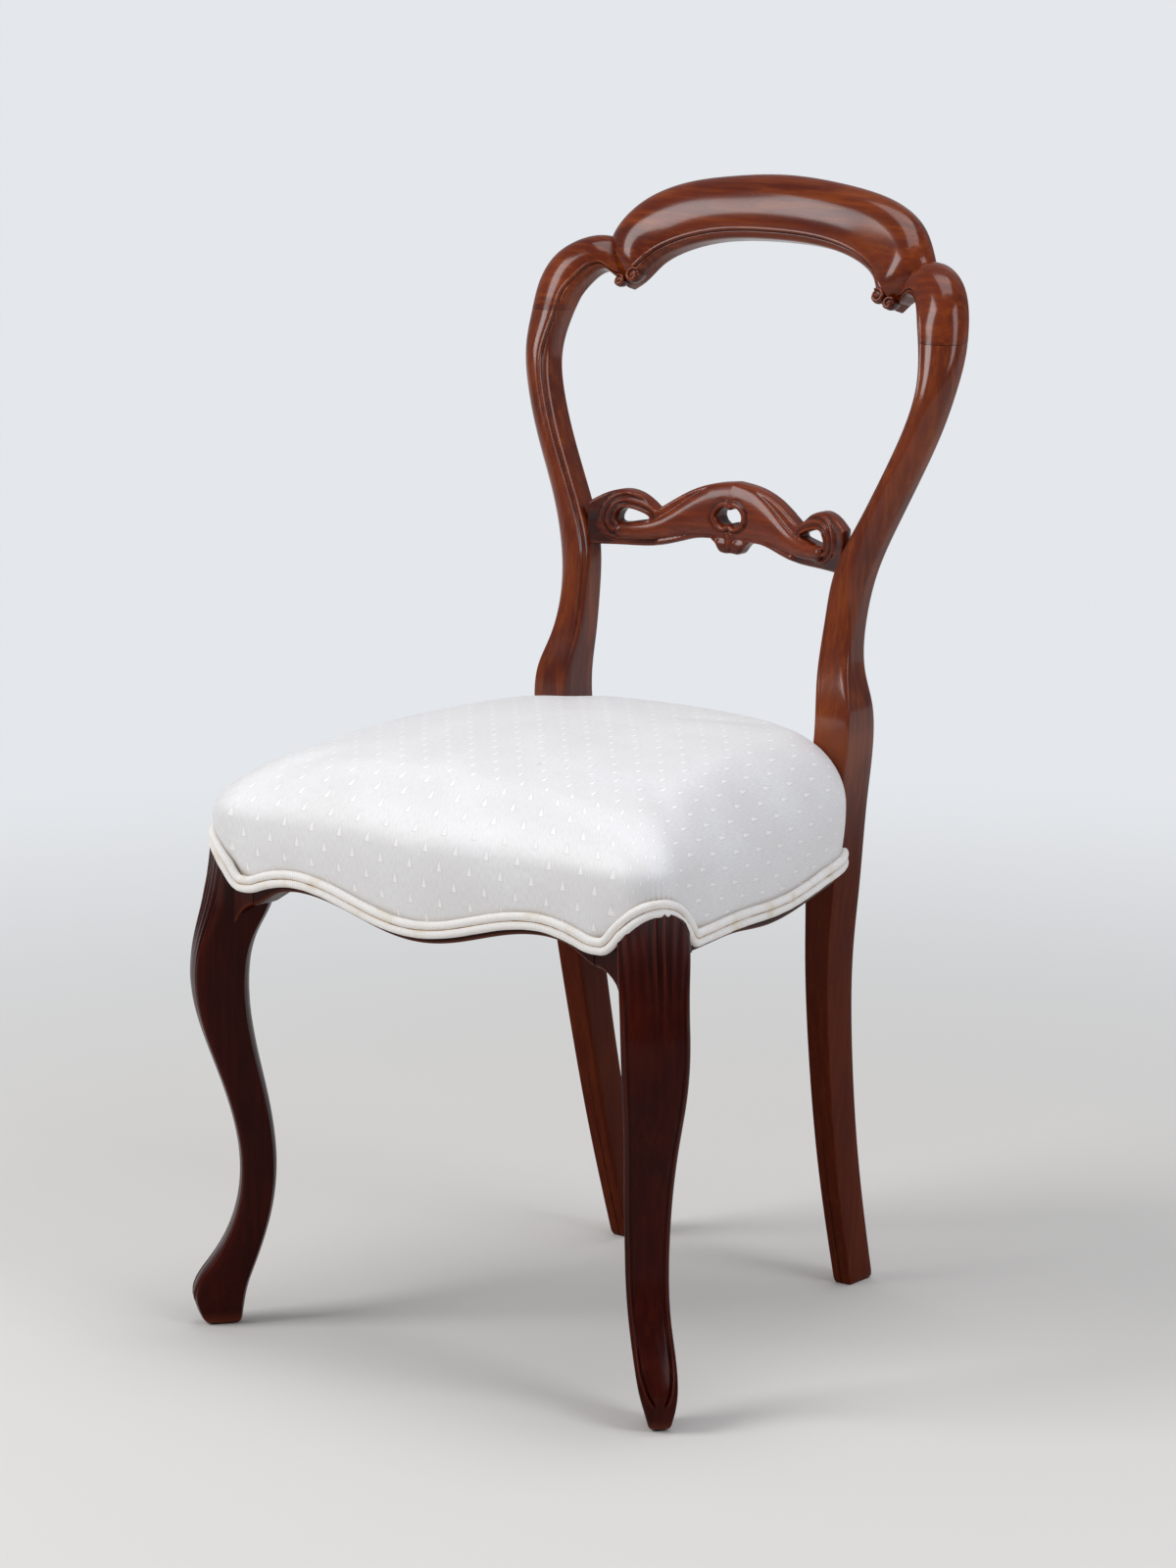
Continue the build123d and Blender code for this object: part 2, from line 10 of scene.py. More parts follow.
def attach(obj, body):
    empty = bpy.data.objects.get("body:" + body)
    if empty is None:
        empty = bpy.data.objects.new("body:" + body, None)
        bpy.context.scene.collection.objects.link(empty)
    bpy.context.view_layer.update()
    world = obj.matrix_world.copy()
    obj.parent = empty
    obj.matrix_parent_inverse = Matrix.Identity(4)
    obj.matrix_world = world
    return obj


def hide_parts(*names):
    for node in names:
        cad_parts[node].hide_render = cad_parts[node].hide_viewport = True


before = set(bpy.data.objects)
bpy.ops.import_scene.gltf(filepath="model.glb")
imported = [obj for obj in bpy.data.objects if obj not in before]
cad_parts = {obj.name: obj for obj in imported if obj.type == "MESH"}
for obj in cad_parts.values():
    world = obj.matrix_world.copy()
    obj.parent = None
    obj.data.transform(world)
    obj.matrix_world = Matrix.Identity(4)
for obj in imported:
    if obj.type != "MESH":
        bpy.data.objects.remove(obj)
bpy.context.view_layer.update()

# Balloon back dining chair. The drawing below is in millimetres: X across, the front faces -Y,
# Z up. The drawing's origin lies 10.9 mm behind the frame's origin.
MM = 0.001
drawn_y = 10.9


# ---------------------------------------------------------------- small tools


def smooth_rows(keys, rows, at):
    """Rows of numbers carried smoothly from key to key by a natural cubic spline."""
    keys = np.asarray(keys, float)
    rows = np.asarray(rows, float)
    count = len(keys)
    gap = np.diff(keys)
    system = np.zeros((count, count))
    right = np.zeros(rows.shape)
    system[0, 0] = system[-1, -1] = 1
    for i in range(1, count - 1):
        system[i, i - 1:i + 2] = gap[i - 1], 2 * (gap[i - 1] + gap[i]), gap[i]
        rise = (rows[i + 1] - rows[i]) / gap[i] - (rows[i] - rows[i - 1]) / gap[i - 1]
        right[i] = 6 * rise
    bend = np.linalg.solve(system, right)
    at = np.asarray(at, float)
    i = np.clip(np.searchsorted(keys, at) - 1, 0, count - 2)
    before = (keys[i + 1] - at)[:, None]
    after = (at - keys[i])[:, None]
    span = gap[i][:, None]
    curve = (bend[i] * before ** 3 + bend[i + 1] * after ** 3) / (6 * span)
    curve += (rows[i] / span - bend[i] * span / 6) * before
    return curve + (rows[i + 1] / span - bend[i + 1] * span / 6) * after


def ease(start, end, share):
    """A value that glides from start to end as share runs from 0 to 1."""
    share = np.clip(share, 0.0, 1.0)
    return start + (end - start) * (1 - np.cos(np.pi * share)) / 2


def bump(value, middle, width):
    """A soft hump of height 1 round a middle value."""
    return np.exp(-((value - middle) / width) ** 2)


def unit(vectors):
    """Vectors scaled to length 1."""
    return vectors / np.linalg.norm(vectors, axis=-1, keepdims=True)


def tube_faces(rings, around, closed=True, first=0):
    """Quads between rings of points, each with the same number of points around."""
    faces = []
    last = around if closed else around - 1
    for ring in range(rings - 1):
        a = first + ring * around
        b = a + around
        for i in range(last):
            j = (i + 1) % around
            faces.append((a + i, a + j, b + j, b + i))
    return faces


def solid_tube(rings):
    """Points and faces of a tube skinned over rings of points, with both ends closed."""
    rings = np.asarray(rings, float)
    count, around = rings.shape[:2]
    faces = tube_faces(count, around)
    faces.append(tuple(range(around))[::-1])
    faces.append(tuple(range((count - 1) * around, count * around)))
    return rings.reshape(-1, 3), faces


def in_frame(points):
    """Drawn points, in millimetres, as points of the shared frame in metres."""
    return (np.asarray(points, float) + [0, drawn_y, 0]) * MM


def make_piece(name, points, faces, material, tone=None, cloth=None):
    """A finished mesh from drawn points. Tone below 0 is painted shade in hollows; above 0 it is
    painted highlight on ridges and edges, and wear on the feet.
    """
    mesh = bpy.data.meshes.new(name)
    placed = in_frame(points)
    mesh.from_pydata(placed.tolist(), [], [tuple(face) for face in faces])
    values = np.zeros(len(placed)) if tone is None else np.asarray(tone, float)
    layer = mesh.attributes.new("tone", "FLOAT", "POINT")
    layer.data.foreach_set("value", values.astype(np.float32))
    if cloth is not None:
        flat = mesh.uv_layers.new(name="cloth")
        corners = np.zeros(len(mesh.loops), np.int32)
        mesh.loops.foreach_get("vertex_index", corners)
        flat.data.foreach_set("uv", np.asarray(cloth, np.float32)[corners].ravel())
    mesh.materials.append(material)
    piece = bpy.data.objects.new(name, mesh)
    bpy.context.scene.collection.objects.link(piece)
    face_outward(piece)
    mesh.shade_smooth()
    mesh.set_sharp_from_angle(angle=math.radians(52))
    return piece


def face_outward(piece):
    """Merges doubled points and turns every face of a closed piece outward."""
    shape = bmesh.new()
    shape.from_mesh(piece.data)
    bmesh.ops.remove_doubles(shape, verts=shape.verts, dist=0.00001)
    bmesh.ops.recalc_face_normals(shape, faces=shape.faces)
    shape.to_mesh(piece.data)
    shape.free()


def gather(parts):
    """Several (points, faces, tone) parts as one."""
    points, faces, tones = [], [], []
    start = 0
    for part_points, part_faces, part_tone in parts:
        points.append(part_points)
        faces += [tuple(start + i for i in face) for face in part_faces]
        tones.append(np.zeros(len(part_points)) + part_tone)
        start += len(part_points)
    return np.vstack(points), faces, np.concatenate(tones)


def mirrored(points):
    """Points on the other side of the chair."""
    return np.asarray(points, float) * [-1, 1, 1]


def inside_loop(points, loop):
    """Which points lie inside a closed loop."""
    x, y = points[:, 0], points[:, 1]
    found = np.zeros(len(points), bool)
    for (ax, ay), (bx, by) in zip(loop, np.roll(loop, -1, axis=0)):
        crosses = (ay > y) != (by > y)
        rise = by - ay if by != ay else 1e-9
        found ^= crosses & (x < (bx - ax) * (y - ay) / rise + ax)
    return found


def distance_to(points, line, closed=False):
    """Distance of each point to a line of points."""
    ends = np.roll(line, -1, axis=0) if closed else line[1:]
    starts = line if closed else line[:-1]
    best = np.full(len(points), 1e9)
    for a, b in zip(starts, ends):
        along = b - a
        share = np.clip(((points - a) @ along) / max(along @ along, 1e-12), 0, 1)
        best = np.minimum(best, np.linalg.norm(points - a - share[:, None] * along, axis=1))
    return best


def filled(outline, holes, spacing):
    """Points and triangles that fill an outline less its holes. The loops' points come first."""
    loops = [np.asarray(outline, float)] + [np.asarray(hole, float) for hole in holes]
    low, high = loops[0].min(0), loops[0].max(0)
    columns = np.arange(low[0], high[0], spacing)
    rows = np.arange(low[1], high[1], spacing * 0.87)
    grid = np.array([(x + spacing / 2 * (j % 2), y) for j, y in enumerate(rows) for x in columns])
    keep = inside_loop(grid, loops[0])
    for loop in loops[1:]:
        keep &= ~inside_loop(grid, loop)
    grid = grid[keep]
    for loop in loops:
        grid = grid[distance_to(grid, loop, True) > spacing * 0.6]
    edges, start = [], 0
    for loop in loops:
        edges += [(start + i, start + (i + 1) % len(loop)) for i in range(len(loop))]
        start += len(loop)
    points = np.vstack(loops + [grid])
    made = delaunay_2d_cdt([Vector(p) for p in points], edges, [], 0, 1e-6)
    points = np.array([tuple(p) for p in made[0]])
    faces = np.array([face for face in made[2] if len(face) == 3])
    middles = points[faces].mean(1)
    keep = inside_loop(middles, loops[0])
    for loop in loops[1:]:
        keep &= ~inside_loop(middles, loop)
    return points, faces[keep], [len(loop) for loop in loops]


def slab(flat, faces, rim, low, high):
    """A closed piece between a filled outline on its low level and on its high one."""
    count = len(flat)
    points = np.vstack([np.column_stack([flat, low]), np.column_stack([flat, high])])
    sides = [(i, (i + 1) % rim, (i + 1) % rim + count, i + count) for i in range(rim)]
    layers = [tuple(face) for face in faces] + [tuple(face[::-1] + count) for face in faces]
    return points, layers + sides


# ---------------------------------------------------------------- materials


def colour(code):
    """A linear colour from an sRGB hex value."""
    levels = [int(code[i:i + 2], 16) / 255 for i in (0, 2, 4)]
    linear = [v / 12.92 if v <= 0.04045 else ((v + 0.055) / 1.055) ** 2.4 for v in levels]
    return (*linear, 1.0)


def add_node(tree, kind, sockets, **settings):
    """One node with its settings, values and links. A node as a value links its first output."""
    node = tree.nodes.new(kind)
    for name, value in settings.items():
        setattr(node, name, value)
    for name, value in sockets.items():
        if isinstance(value, bpy.types.Node):
            value = value.outputs[0]
        if isinstance(value, bpy.types.NodeSocket):
            tree.links.new(value, node.inputs[name])
        else:
            node.inputs[name].default_value = value
    return node


def new_material(name):
    """An empty material: its tree, its shader and the coordinates of the piece itself."""
    material = bpy.data.materials.new(name)
    material.use_nodes = True
    tree = material.node_tree
    place = add_node(tree, "ShaderNodeTexCoord", {}).outputs["Object"]
    return material, tree, tree.nodes["Principled BSDF"], place


def tinted(tree, ground, layers, rise="SMOOTHSTEP"):
    """A ground colour under others, each laid on at a strength as a value goes from low to high."""
    for value, low, high, strength, code in layers:
        share = add_node(tree, "ShaderNodeMapRange",
                         {"Value": value, "From Min": low, "From Max": high, "To Max": strength},
                         interpolation_type=rise)
        ground = add_node(tree, "ShaderNodeMix", {0: share, 6: ground, 7: colour(code)},
                          data_type="RGBA").outputs[2]
    return ground


def dress(tree, shader, shade, height, strength, depth):
    """Gives a shader its colour and a fine relief that is depth millimetres deep."""
    relief = add_node(tree, "ShaderNodeBump",
                      {"Height": height, "Strength": strength, "Distance": depth * MM})
    tree.links.new(shade, shader.inputs["Base Color"])
    tree.links.new(relief.outputs[0], shader.inputs["Normal"])


def polished_wood(name, grain, dark, body, light, lightened, gloss, shine, coat):
    """Polished mahogany: sawn along the grain axis, stained, sealed and rubbed to a gloss.

    It gives the eye a soft ribbon figure 6 to 20 mm wide, fine dark pores and a clear coat. From
    the seat down the colour is darker, a painted shade, and its coat is thinner."""
    material, tree, shader, place = new_material(name)
    along = [1.0, 1.0, 1.0]
    along["XYZ".index(grain)] = 0.06
    fibre = add_node(tree, "ShaderNodeMapping", {"Vector": place, "Scale": along})
    figure = add_node(tree, "ShaderNodeTexNoise",
                      {"Vector": fibre, "Scale": 1 / (38 * MM), "Detail": 4.0,
                       "Roughness": 0.55, "Distortion": 0.6})
    ribbon = add_node(tree, "ShaderNodeTexNoise",
                      {"Vector": fibre, "Scale": 1 / (5 * MM), "Detail": 3.0, "Roughness": 0.6})
    pore = add_node(tree, "ShaderNodeTexNoise",
                    {"Vector": fibre, "Scale": 1 / (0.7 * MM), "Detail": 2.0})
    patch = add_node(tree, "ShaderNodeTexNoise",
                     {"Vector": place, "Scale": 1 / (70 * MM), "Detail": 3.0})
    smear = add_node(tree, "ShaderNodeTexNoise",
                     {"Vector": place, "Scale": 1 / (16 * MM), "Detail": 5.0})
    level = add_node(tree, "ShaderNodeSeparateXYZ", {"Vector": place}).outputs["Z"]
    tone = add_node(tree, "ShaderNodeAttribute", {}, attribute_name="tone").outputs["Fac"]
    # Levels over which the painted shade below the seat, and the thinner coat, come in.
    seat_shade_top, seat_shade_full = 470 * MM, 330 * MM
    shade = tinted(tree, colour(dark), [
        (figure, 0.3, 0.7, 1.0, body),
        (ribbon, 0.42, 0.72, 0.45, light),
        (pore, 0.6, 0.7, 0.45, dark),
        (patch, 0.5, 0.72, 0.35, light),
        (patch, 0.44, 0.3, 0.45, dark),
        # Painted shade: from the seat down the colour is darkened.
        (level, seat_shade_top, seat_shade_full, 0.7, dark),
        # Tone lightens for painted highlight on ridges and wear on feet, darkens for painted shade
        # in hollows.
        (tone, 0.0, 1.0, 0.55, lightened),
        (tone, 0.0, -1.0, 0.8, "120403")])
    pits = add_node(tree, "ShaderNodeMapRange",
                    {"Value": pore, "From Min": 0.6, "From Max": 0.7, "To Max": -1.0},
                    interpolation_type="SMOOTHSTEP")
    height = add_node(tree, "ShaderNodeMath", {0: ribbon, 1: 0.5, 2: pits},
                      operation="MULTIPLY_ADD")
    dress(tree, shader, shade, height, 0.06, 0.2)
    rubbed = add_node(tree, "ShaderNodeMapRange",
                      {"Value": smear, "From Min": 0.3, "From Max": 0.7,
                       "To Min": gloss, "To Max": gloss + 0.1})
    dulled = add_node(tree, "ShaderNodeMapRange",
                      {"Value": tone, "From Min": 0.0, "From Max": -1.0, "To Max": 0.2},
                      interpolation_type="SMOOTHSTEP")
    rough = add_node(tree, "ShaderNodeMath", {0: rubbed, 1: dulled}, operation="ADD")
    polish = add_node(tree, "ShaderNodeMapRange",
                      {"Value": level, "From Min": seat_shade_top, "From Max": seat_shade_full,
                       "To Min": 1.05 * coat, "To Max": 0.05 * coat},
                      interpolation_type="SMOOTHSTEP")
    tree.links.new(rough.outputs[0], shader.inputs["Roughness"])
    tree.links.new(polish.outputs[0], shader.inputs["Coat Weight"])
    shader.inputs["Coat Roughness"].default_value = 0.13
    shader.inputs["Specular IOR Level"].default_value = shine
    return material


def plain_beech():
    """Unpolished beech, sawn and planed: pale, dull, with short darker flecks."""
    material, tree, shader, place = new_material("beech_planed")
    fibre = add_node(tree, "ShaderNodeMapping", {"Vector": place, "Scale": (0.12, 1.0, 1.0)})
    fleck = add_node(tree, "ShaderNodeTexNoise",
                     {"Vector": fibre, "Scale": 1 / (1.6 * MM), "Detail": 3.0})
    figure = add_node(tree, "ShaderNodeTexNoise",
                      {"Vector": fibre, "Scale": 1 / (18 * MM), "Detail": 3.0})
    shade = tinted(tree, colour("8F6A45"), [(figure, 0.3, 0.7, 1.0, "A9845A"),
                                            (fleck, 0.55, 0.7, 0.5, "6B4A2D")])
    dress(tree, shader, shade, fleck, 0.3, 0.4)
    shader.inputs["Roughness"].default_value = 0.72
    return material


def woven_jute(name, pitch, light, dark, gap):
    """Jute cloth: coarse yarns woven over and under, with a painted highlight on each yarn and
    painted shade between.
    """
    material, tree, shader, place = new_material(name)
    apart = add_node(tree, "ShaderNodeSeparateXYZ", {"Vector": place})
    waves, humps = [], []
    for axis in "XY":
        phase = add_node(tree, "ShaderNodeMath",
                         {0: apart.outputs[axis], 1: 2 * math.pi / (pitch * MM)},
                         operation="MULTIPLY")
        waves.append(add_node(tree, "ShaderNodeMath", {0: phase}, operation="SINE"))
        humps.append(add_node(tree, "ShaderNodeMath", {0: waves[-1]}, operation="ABSOLUTE"))
    weave = add_node(tree, "ShaderNodeMath", {0: waves[0], 1: waves[1]}, operation="MULTIPLY")
    yarn = add_node(tree, "ShaderNodeMath", {0: humps[0], 1: humps[1]}, operation="MAXIMUM")
    fuzz = add_node(tree, "ShaderNodeTexNoise",
                    {"Vector": place, "Scale": 1 / (3 * MM), "Detail": 4.0})
    share = add_node(tree, "ShaderNodeMath", {0: weave, 1: 0.35, 2: fuzz},
                     operation="MULTIPLY_ADD")
    # Lighter where the weave stands high, a painted highlight; darker in the gaps, painted shade.
    shade = tinted(tree, colour(dark), [(share, 0.2, 0.8, 1.0, light),
                                        (yarn, 0.55, 0.2, 1.0, gap)])
    dress(tree, shader, shade, weave, 0.7, 0.5)
    shader.inputs["Roughness"].default_value = 0.92
    return material


def woven_sprigs(tree, flat):
    """The sprigs of the satin, each woven in floats 1.7 mm apart, and a soft dark rim round each,
    painted as its shadow.
    """
    pitch, row_pitch, float_pitch = 23.0, 14.0, 1.7
    apart = add_node(tree, "ShaderNodeSeparateXYZ", {"Vector": flat})
    row = add_node(tree, "ShaderNodeMath", {0: apart.outputs["Y"], 1: row_pitch * MM},
                   operation="DIVIDE")
    column = add_node(tree, "ShaderNodeMath", {0: apart.outputs["X"], 1: pitch * MM},
                      operation="DIVIDE")
    whole_row = add_node(tree, "ShaderNodeMath", {0: row}, operation="FLOOR")
    odd = add_node(tree, "ShaderNodeMath", {0: whole_row, 1: 2.0}, operation="MODULO")
    offset = add_node(tree, "ShaderNodeMath", {0: odd, 1: 0.5, 2: column},
                      operation="MULTIPLY_ADD")
    # Millimetres from the middle of the sprig's cell, across and along the warp.
    spots = []
    for cell, size in ((offset, pitch), (row, row_pitch)):
        part = add_node(tree, "ShaderNodeMath", {0: cell}, operation="FRACT")
        spots.append(add_node(tree, "ShaderNodeMath", {0: part, 1: size, 2: -size / 2},
                              operation="MULTIPLY_ADD"))
    across, along = spots
    side = add_node(tree, "ShaderNodeMath", {0: across}, operation="ABSOLUTE")
    reach = add_node(tree, "ShaderNodeMath", {0: along}, operation="ABSOLUTE")
    taper = add_node(tree, "ShaderNodeMath", {0: along, 1: 0.21, 2: side},
                     operation="MULTIPLY_ADD")
    shapes = []
    for outer, inner, tip, end in ((1.55, 0.35, 4.9, 3.4), (2.25, 1.25, 5.2, 4.4)):
        width = add_node(tree, "ShaderNodeMapRange",
                         {"Value": taper, "From Min": outer, "From Max": inner},
                         interpolation_type="SMOOTHSTEP")
        length = add_node(tree, "ShaderNodeMapRange",
                          {"Value": reach, "From Min": tip, "From Max": end},
                          interpolation_type="SMOOTHSTEP")
        shapes.append(add_node(tree, "ShaderNodeMath", {0: width, 1: length},
                               operation="MULTIPLY"))
    phase = add_node(tree, "ShaderNodeMath", {0: along, 1: 2 * math.pi / float_pitch},
                     operation="MULTIPLY")
    wave = add_node(tree, "ShaderNodeMath", {0: phase}, operation="SINE")
    floats = add_node(tree, "ShaderNodeMath", {0: wave, 1: 0.2, 2: 0.8},
                      operation="MULTIPLY_ADD")
    sprig = add_node(tree, "ShaderNodeMath", {0: shapes[0], 1: floats}, operation="MULTIPLY")
    return sprig, shapes[1]


def gathered(tree, place, cloud, relief):
    """A relief with fine gathers 4.2 mm apart laid over it, that fan out above each leg."""
    pitch = 4.2
    spot = add_node(tree, "ShaderNodeSeparateXYZ", {"Vector": place})
    right = add_node(tree, "ShaderNodeMath", {0: spot.outputs["X"]}, operation="ABSOLUTE")
    diagonal = add_node(tree, "ShaderNodeMath", {0: right, 1: spot.outputs["Y"]},
                        operation="ADD")
    bent = add_node(tree, "ShaderNodeMath", {0: cloud, 1: 9.0}, operation="MULTIPLY")
    phase = add_node(tree, "ShaderNodeMath",
                     {0: diagonal, 1: 0.71 * 2 * math.pi / (pitch * MM), 2: bent},
                     operation="MULTIPLY_ADD")
    fold = add_node(tree, "ShaderNodeMath", {0: phase}, operation="SINE")
    gathers = add_node(tree, "ShaderNodeAttribute", {}, attribute_name="gathers").outputs["Fac"]
    pull = add_node(tree, "ShaderNodeMath", {0: gathers, 1: 2.2}, operation="MULTIPLY")
    return add_node(tree, "ShaderNodeMath", {0: fold, 1: pull, 2: relief},
                    operation="MULTIPLY_ADD")


def ivory_satin():
    """Ivory cotton satin, woven with a small tapered sprig every 23 mm in offset rows.

    It gives the eye a soft lengthwise sheen and little raised sprigs that are whiter than the
    ground, each ringed by a painted shadow. The 0.3 mm thread is drawn 0.9 mm wide, because it is
    too fine to show."""
    material, tree, shader, place = new_material("ivory_satin_woven")
    flat = add_node(tree, "ShaderNodeUVMap", {}, uv_map="cloth")
    sprig, rim = woven_sprigs(tree, flat)
    thread = add_node(tree, "ShaderNodeMapping", {"Vector": flat, "Scale": (1.0, 0.16, 1.0)})
    weave = add_node(tree, "ShaderNodeTexNoise",
                     {"Vector": thread, "Scale": 1 / (0.9 * MM), "Detail": 2.0})
    cloud = add_node(tree, "ShaderNodeTexNoise",
                     {"Vector": flat, "Scale": 1 / (60 * MM), "Detail": 4.0})
    tone = add_node(tree, "ShaderNodeAttribute", {}, attribute_name="tone").outputs["Fac"]
    shade = tinted(tree, colour("E2E0E0"), [(cloud, 0.35, 0.7, 1.0, "E8E7E8"),
                                            (weave, 0.35, 0.65, 0.35, "D0CCCA")])
    # A painted shadow round each sprig, then the sprig's own whiter thread.
    shade = tinted(tree, shade, [(rim, 0.0, 1.0, 0.22, "B4AEAC"),
                                 (sprig, 0.0, 1.0, 0.85, "FEFCF9")], "LINEAR")
    shade = tinted(tree, shade, [(tone, 0.0, -1.0, 0.7, "B8A88E")])
    raised = add_node(tree, "ShaderNodeMath", {0: weave, 1: 0.35, 2: sprig},
                      operation="MULTIPLY_ADD")
    dress(tree, shader, shade, gathered(tree, place, cloud, raised), 0.5, 0.35)
    rough = add_node(tree, "ShaderNodeMapRange", {"Value": sprig, "To Min": 0.44, "To Max": 0.75})
    tree.links.new(rough.outputs[0], shader.inputs["Roughness"])
    shader.inputs["Sheen Weight"].default_value = 0.25
    shader.inputs["Sheen Roughness"].default_value = 0.4
    return material


def piping_cloth():
    """Ivory cloth sewn on the bias round a cord: its thread slants, and its edges are soiled."""
    material, tree, shader, place = new_material("ivory_piping_sewn")
    along = add_node(tree, "ShaderNodeAttribute", {}, attribute_name="along").outputs["Fac"]
    around = add_node(tree, "ShaderNodeAttribute", {}, attribute_name="around").outputs["Fac"]
    run = add_node(tree, "ShaderNodeMath", {0: along, 1: 2 * math.pi / (2.0 * MM)},
                   operation="MULTIPLY")
    phase = add_node(tree, "ShaderNodeMath", {0: around, 1: 22.0, 2: run},
                     operation="MULTIPLY_ADD")
    wave = add_node(tree, "ShaderNodeMath", {0: phase}, operation="SINE")
    bias = add_node(tree, "ShaderNodeMath", {0: wave, 1: 0.12, 2: 0.2}, operation="MULTIPLY_ADD")
    fuzz = add_node(tree, "ShaderNodeTexNoise",
                    {"Vector": place, "Scale": 1 / (1.1 * MM), "Detail": 3.0})
    thread = add_node(tree, "ShaderNodeMath", {0: fuzz, 1: 0.6, 2: bias},
                      operation="MULTIPLY_ADD")
    cloud = add_node(tree, "ShaderNodeTexNoise",
                     {"Vector": place, "Scale": 1 / (22 * MM), "Detail": 4.0})
    shade = tinted(tree, colour("F0EDEA"), [(cloud, 0.52, 0.75, 1.0, "E0D5C4"),
                                            (thread, 0.4, 0.65, 0.35, "CFC6BA")])
    dress(tree, shader, shade, thread, 0.6, 0.5)
    shader.inputs["Roughness"].default_value = 0.8
    shader.inputs["Sheen Weight"].default_value = 0.15
    return material


def dried_glue():
    """Old hide glue in the piping's seam: yellow-brown, half glossy, uneven."""
    material, tree, shader, place = new_material("hide_glue_dried")
    cloud = add_node(tree, "ShaderNodeTexNoise",
                     {"Vector": place, "Scale": 1 / (7 * MM), "Detail": 4.0})
    shade = tinted(tree, colour("B8935C"), [(cloud, 0.4, 0.65, 1.0, "7E5A30")])
    dress(tree, shader, shade, cloud, 0.5, 0.6)
    shader.inputs["Roughness"].default_value = 0.45
    return material


def dulled_steel():
    """Cut steel wood screws, dulled by age: grey with a brown bloom."""
    material, tree, shader, place = new_material("steel_screw_dulled")
    bloom = add_node(tree, "ShaderNodeTexNoise",
                     {"Vector": place, "Scale": 1 / (2.5 * MM), "Detail": 4.0})
    shade = tinted(tree, colour("8B8780"), [(bloom, 0.45, 0.65, 1.0, "5C4A3A")])
    rough = add_node(tree, "ShaderNodeMapRange", {"Value": bloom, "To Min": 0.3, "To Max": 0.6})
    tree.links.new(shade, shader.inputs["Base Color"])
    tree.links.new(rough.outputs[0], shader.inputs["Roughness"])
    shader.inputs["Metallic"].default_value = 1.0
    return material


wood_upright = polished_wood("mahogany_polished_upright", "Z", "451203", "6A2706", "8C410C",
                             "8E4A22", gloss=0.18, shine=0.05, coat=0.62)
wood_across = polished_wood("mahogany_polished_across", "X", "481203", "6C2705", "8E420C",
                            "98522A", gloss=0.19, shine=0.1, coat=0.42)
wood_carved = polished_wood("mahogany_carved_rail", "X", "430F03", "6A2406", "87390C",
                            "98522A", gloss=0.27, shine=0.14, coat=0.36)
wood_dark = polished_wood("mahogany_stained_dark", "Z", "260603", "4A0F06", "6E200A",
                          "7A3A24", gloss=0.22, shine=0.05, coat=1.2)
wood_rail = polished_wood("mahogany_rail_lip", "X", "220704", "3E0F06", "5C1F0C",
                          "7A3F26", gloss=0.32, shine=0.06, coat=0.5)
beech = plain_beech()
jute = woven_jute("jute_webbing_woven", 3.2, "BFA377", "836947", "4F3D27")
sacking = woven_jute("hessian_woven", 2.2, "8F7048", "614A2F", "35281B")
satin = ivory_satin()
piping = piping_cloth()
glue = dried_glue()
steel = dulled_steel()


# ---------------------------------------------------------------- back frame

# One run goes up the right back leg, along the stile and round the shoulder to the notch.
# Each station: inner x, outer x, front y, thickness, then the moulding: roll of the front's
# inner side, roll of its outer side, squareness, width of the inner bead and its strength.
upright_stations = [
    (0, 105.0, 121.5, 157.0, 32.0, 1.0, 2.2, 7, 5.0, 0.0),
    (100, 107.5, 125.5, 130.0, 33.0, 1.0, 2.2, 7, 5.0, 0.0),
    (200, 111.0, 131.0, 110.0, 34.0, 1.0, 2.2, 7, 5.0, 0.0),
    (290, 115.5, 138.0, 97.5, 37.0, 1.0, 2.2, 7, 5.0, 0.0),
    (340, 116.8, 143.5, 95.5, 38.5, 1.0, 2.2, 7, 5.0, 0.0),
    (412, 116.8, 150.0, 95.5, 39.0, 1.0, 2.2, 7, 5.0, 0.0),
    (462, 123.0, 155.5, 96.5, 37.5, 1.0, 3.0, 6, 5.0, 0.1),
    (487, 122.0, 154.0, 99.5, 34.0, 1.4, 3.0, 6, 4.0, 0.2),
    (509, 118.5, 148.0, 105.5, 27.5, 2.6, 5.5, 5, 4.0, 0.4),
    (549, 117.5, 145.0, 114.0, 23.5, 5.5, 11.0, 3, 4.0, 0.7),
    (588, 121.5, 151.5, 119.0, 24.0, 8.0, 14.0, 2.4, 4.0, 0.9),
    (627, 138.0, 166.5, 125.0, 24.5, 9.0, 16.0, 2.1, 4.0, 1.0),
    (666, 157.0, 184.5, 130.0, 25.0, 9.5, 16.5, 2, 4.0, 1.0),
    (705, 173.0, 200.0, 136.5, 25.0, 9.5, 17.0, 2, 4.0, 1.0),
    (740, 179.0, 208.5, 144.0, 25.0, 9.5, 17.0, 2, 4.2, 1.0),
    (769, 173.4, 209.5, 153.0, 25.0, 9.0, 17.0, 2, 4.6, 1.0),
]
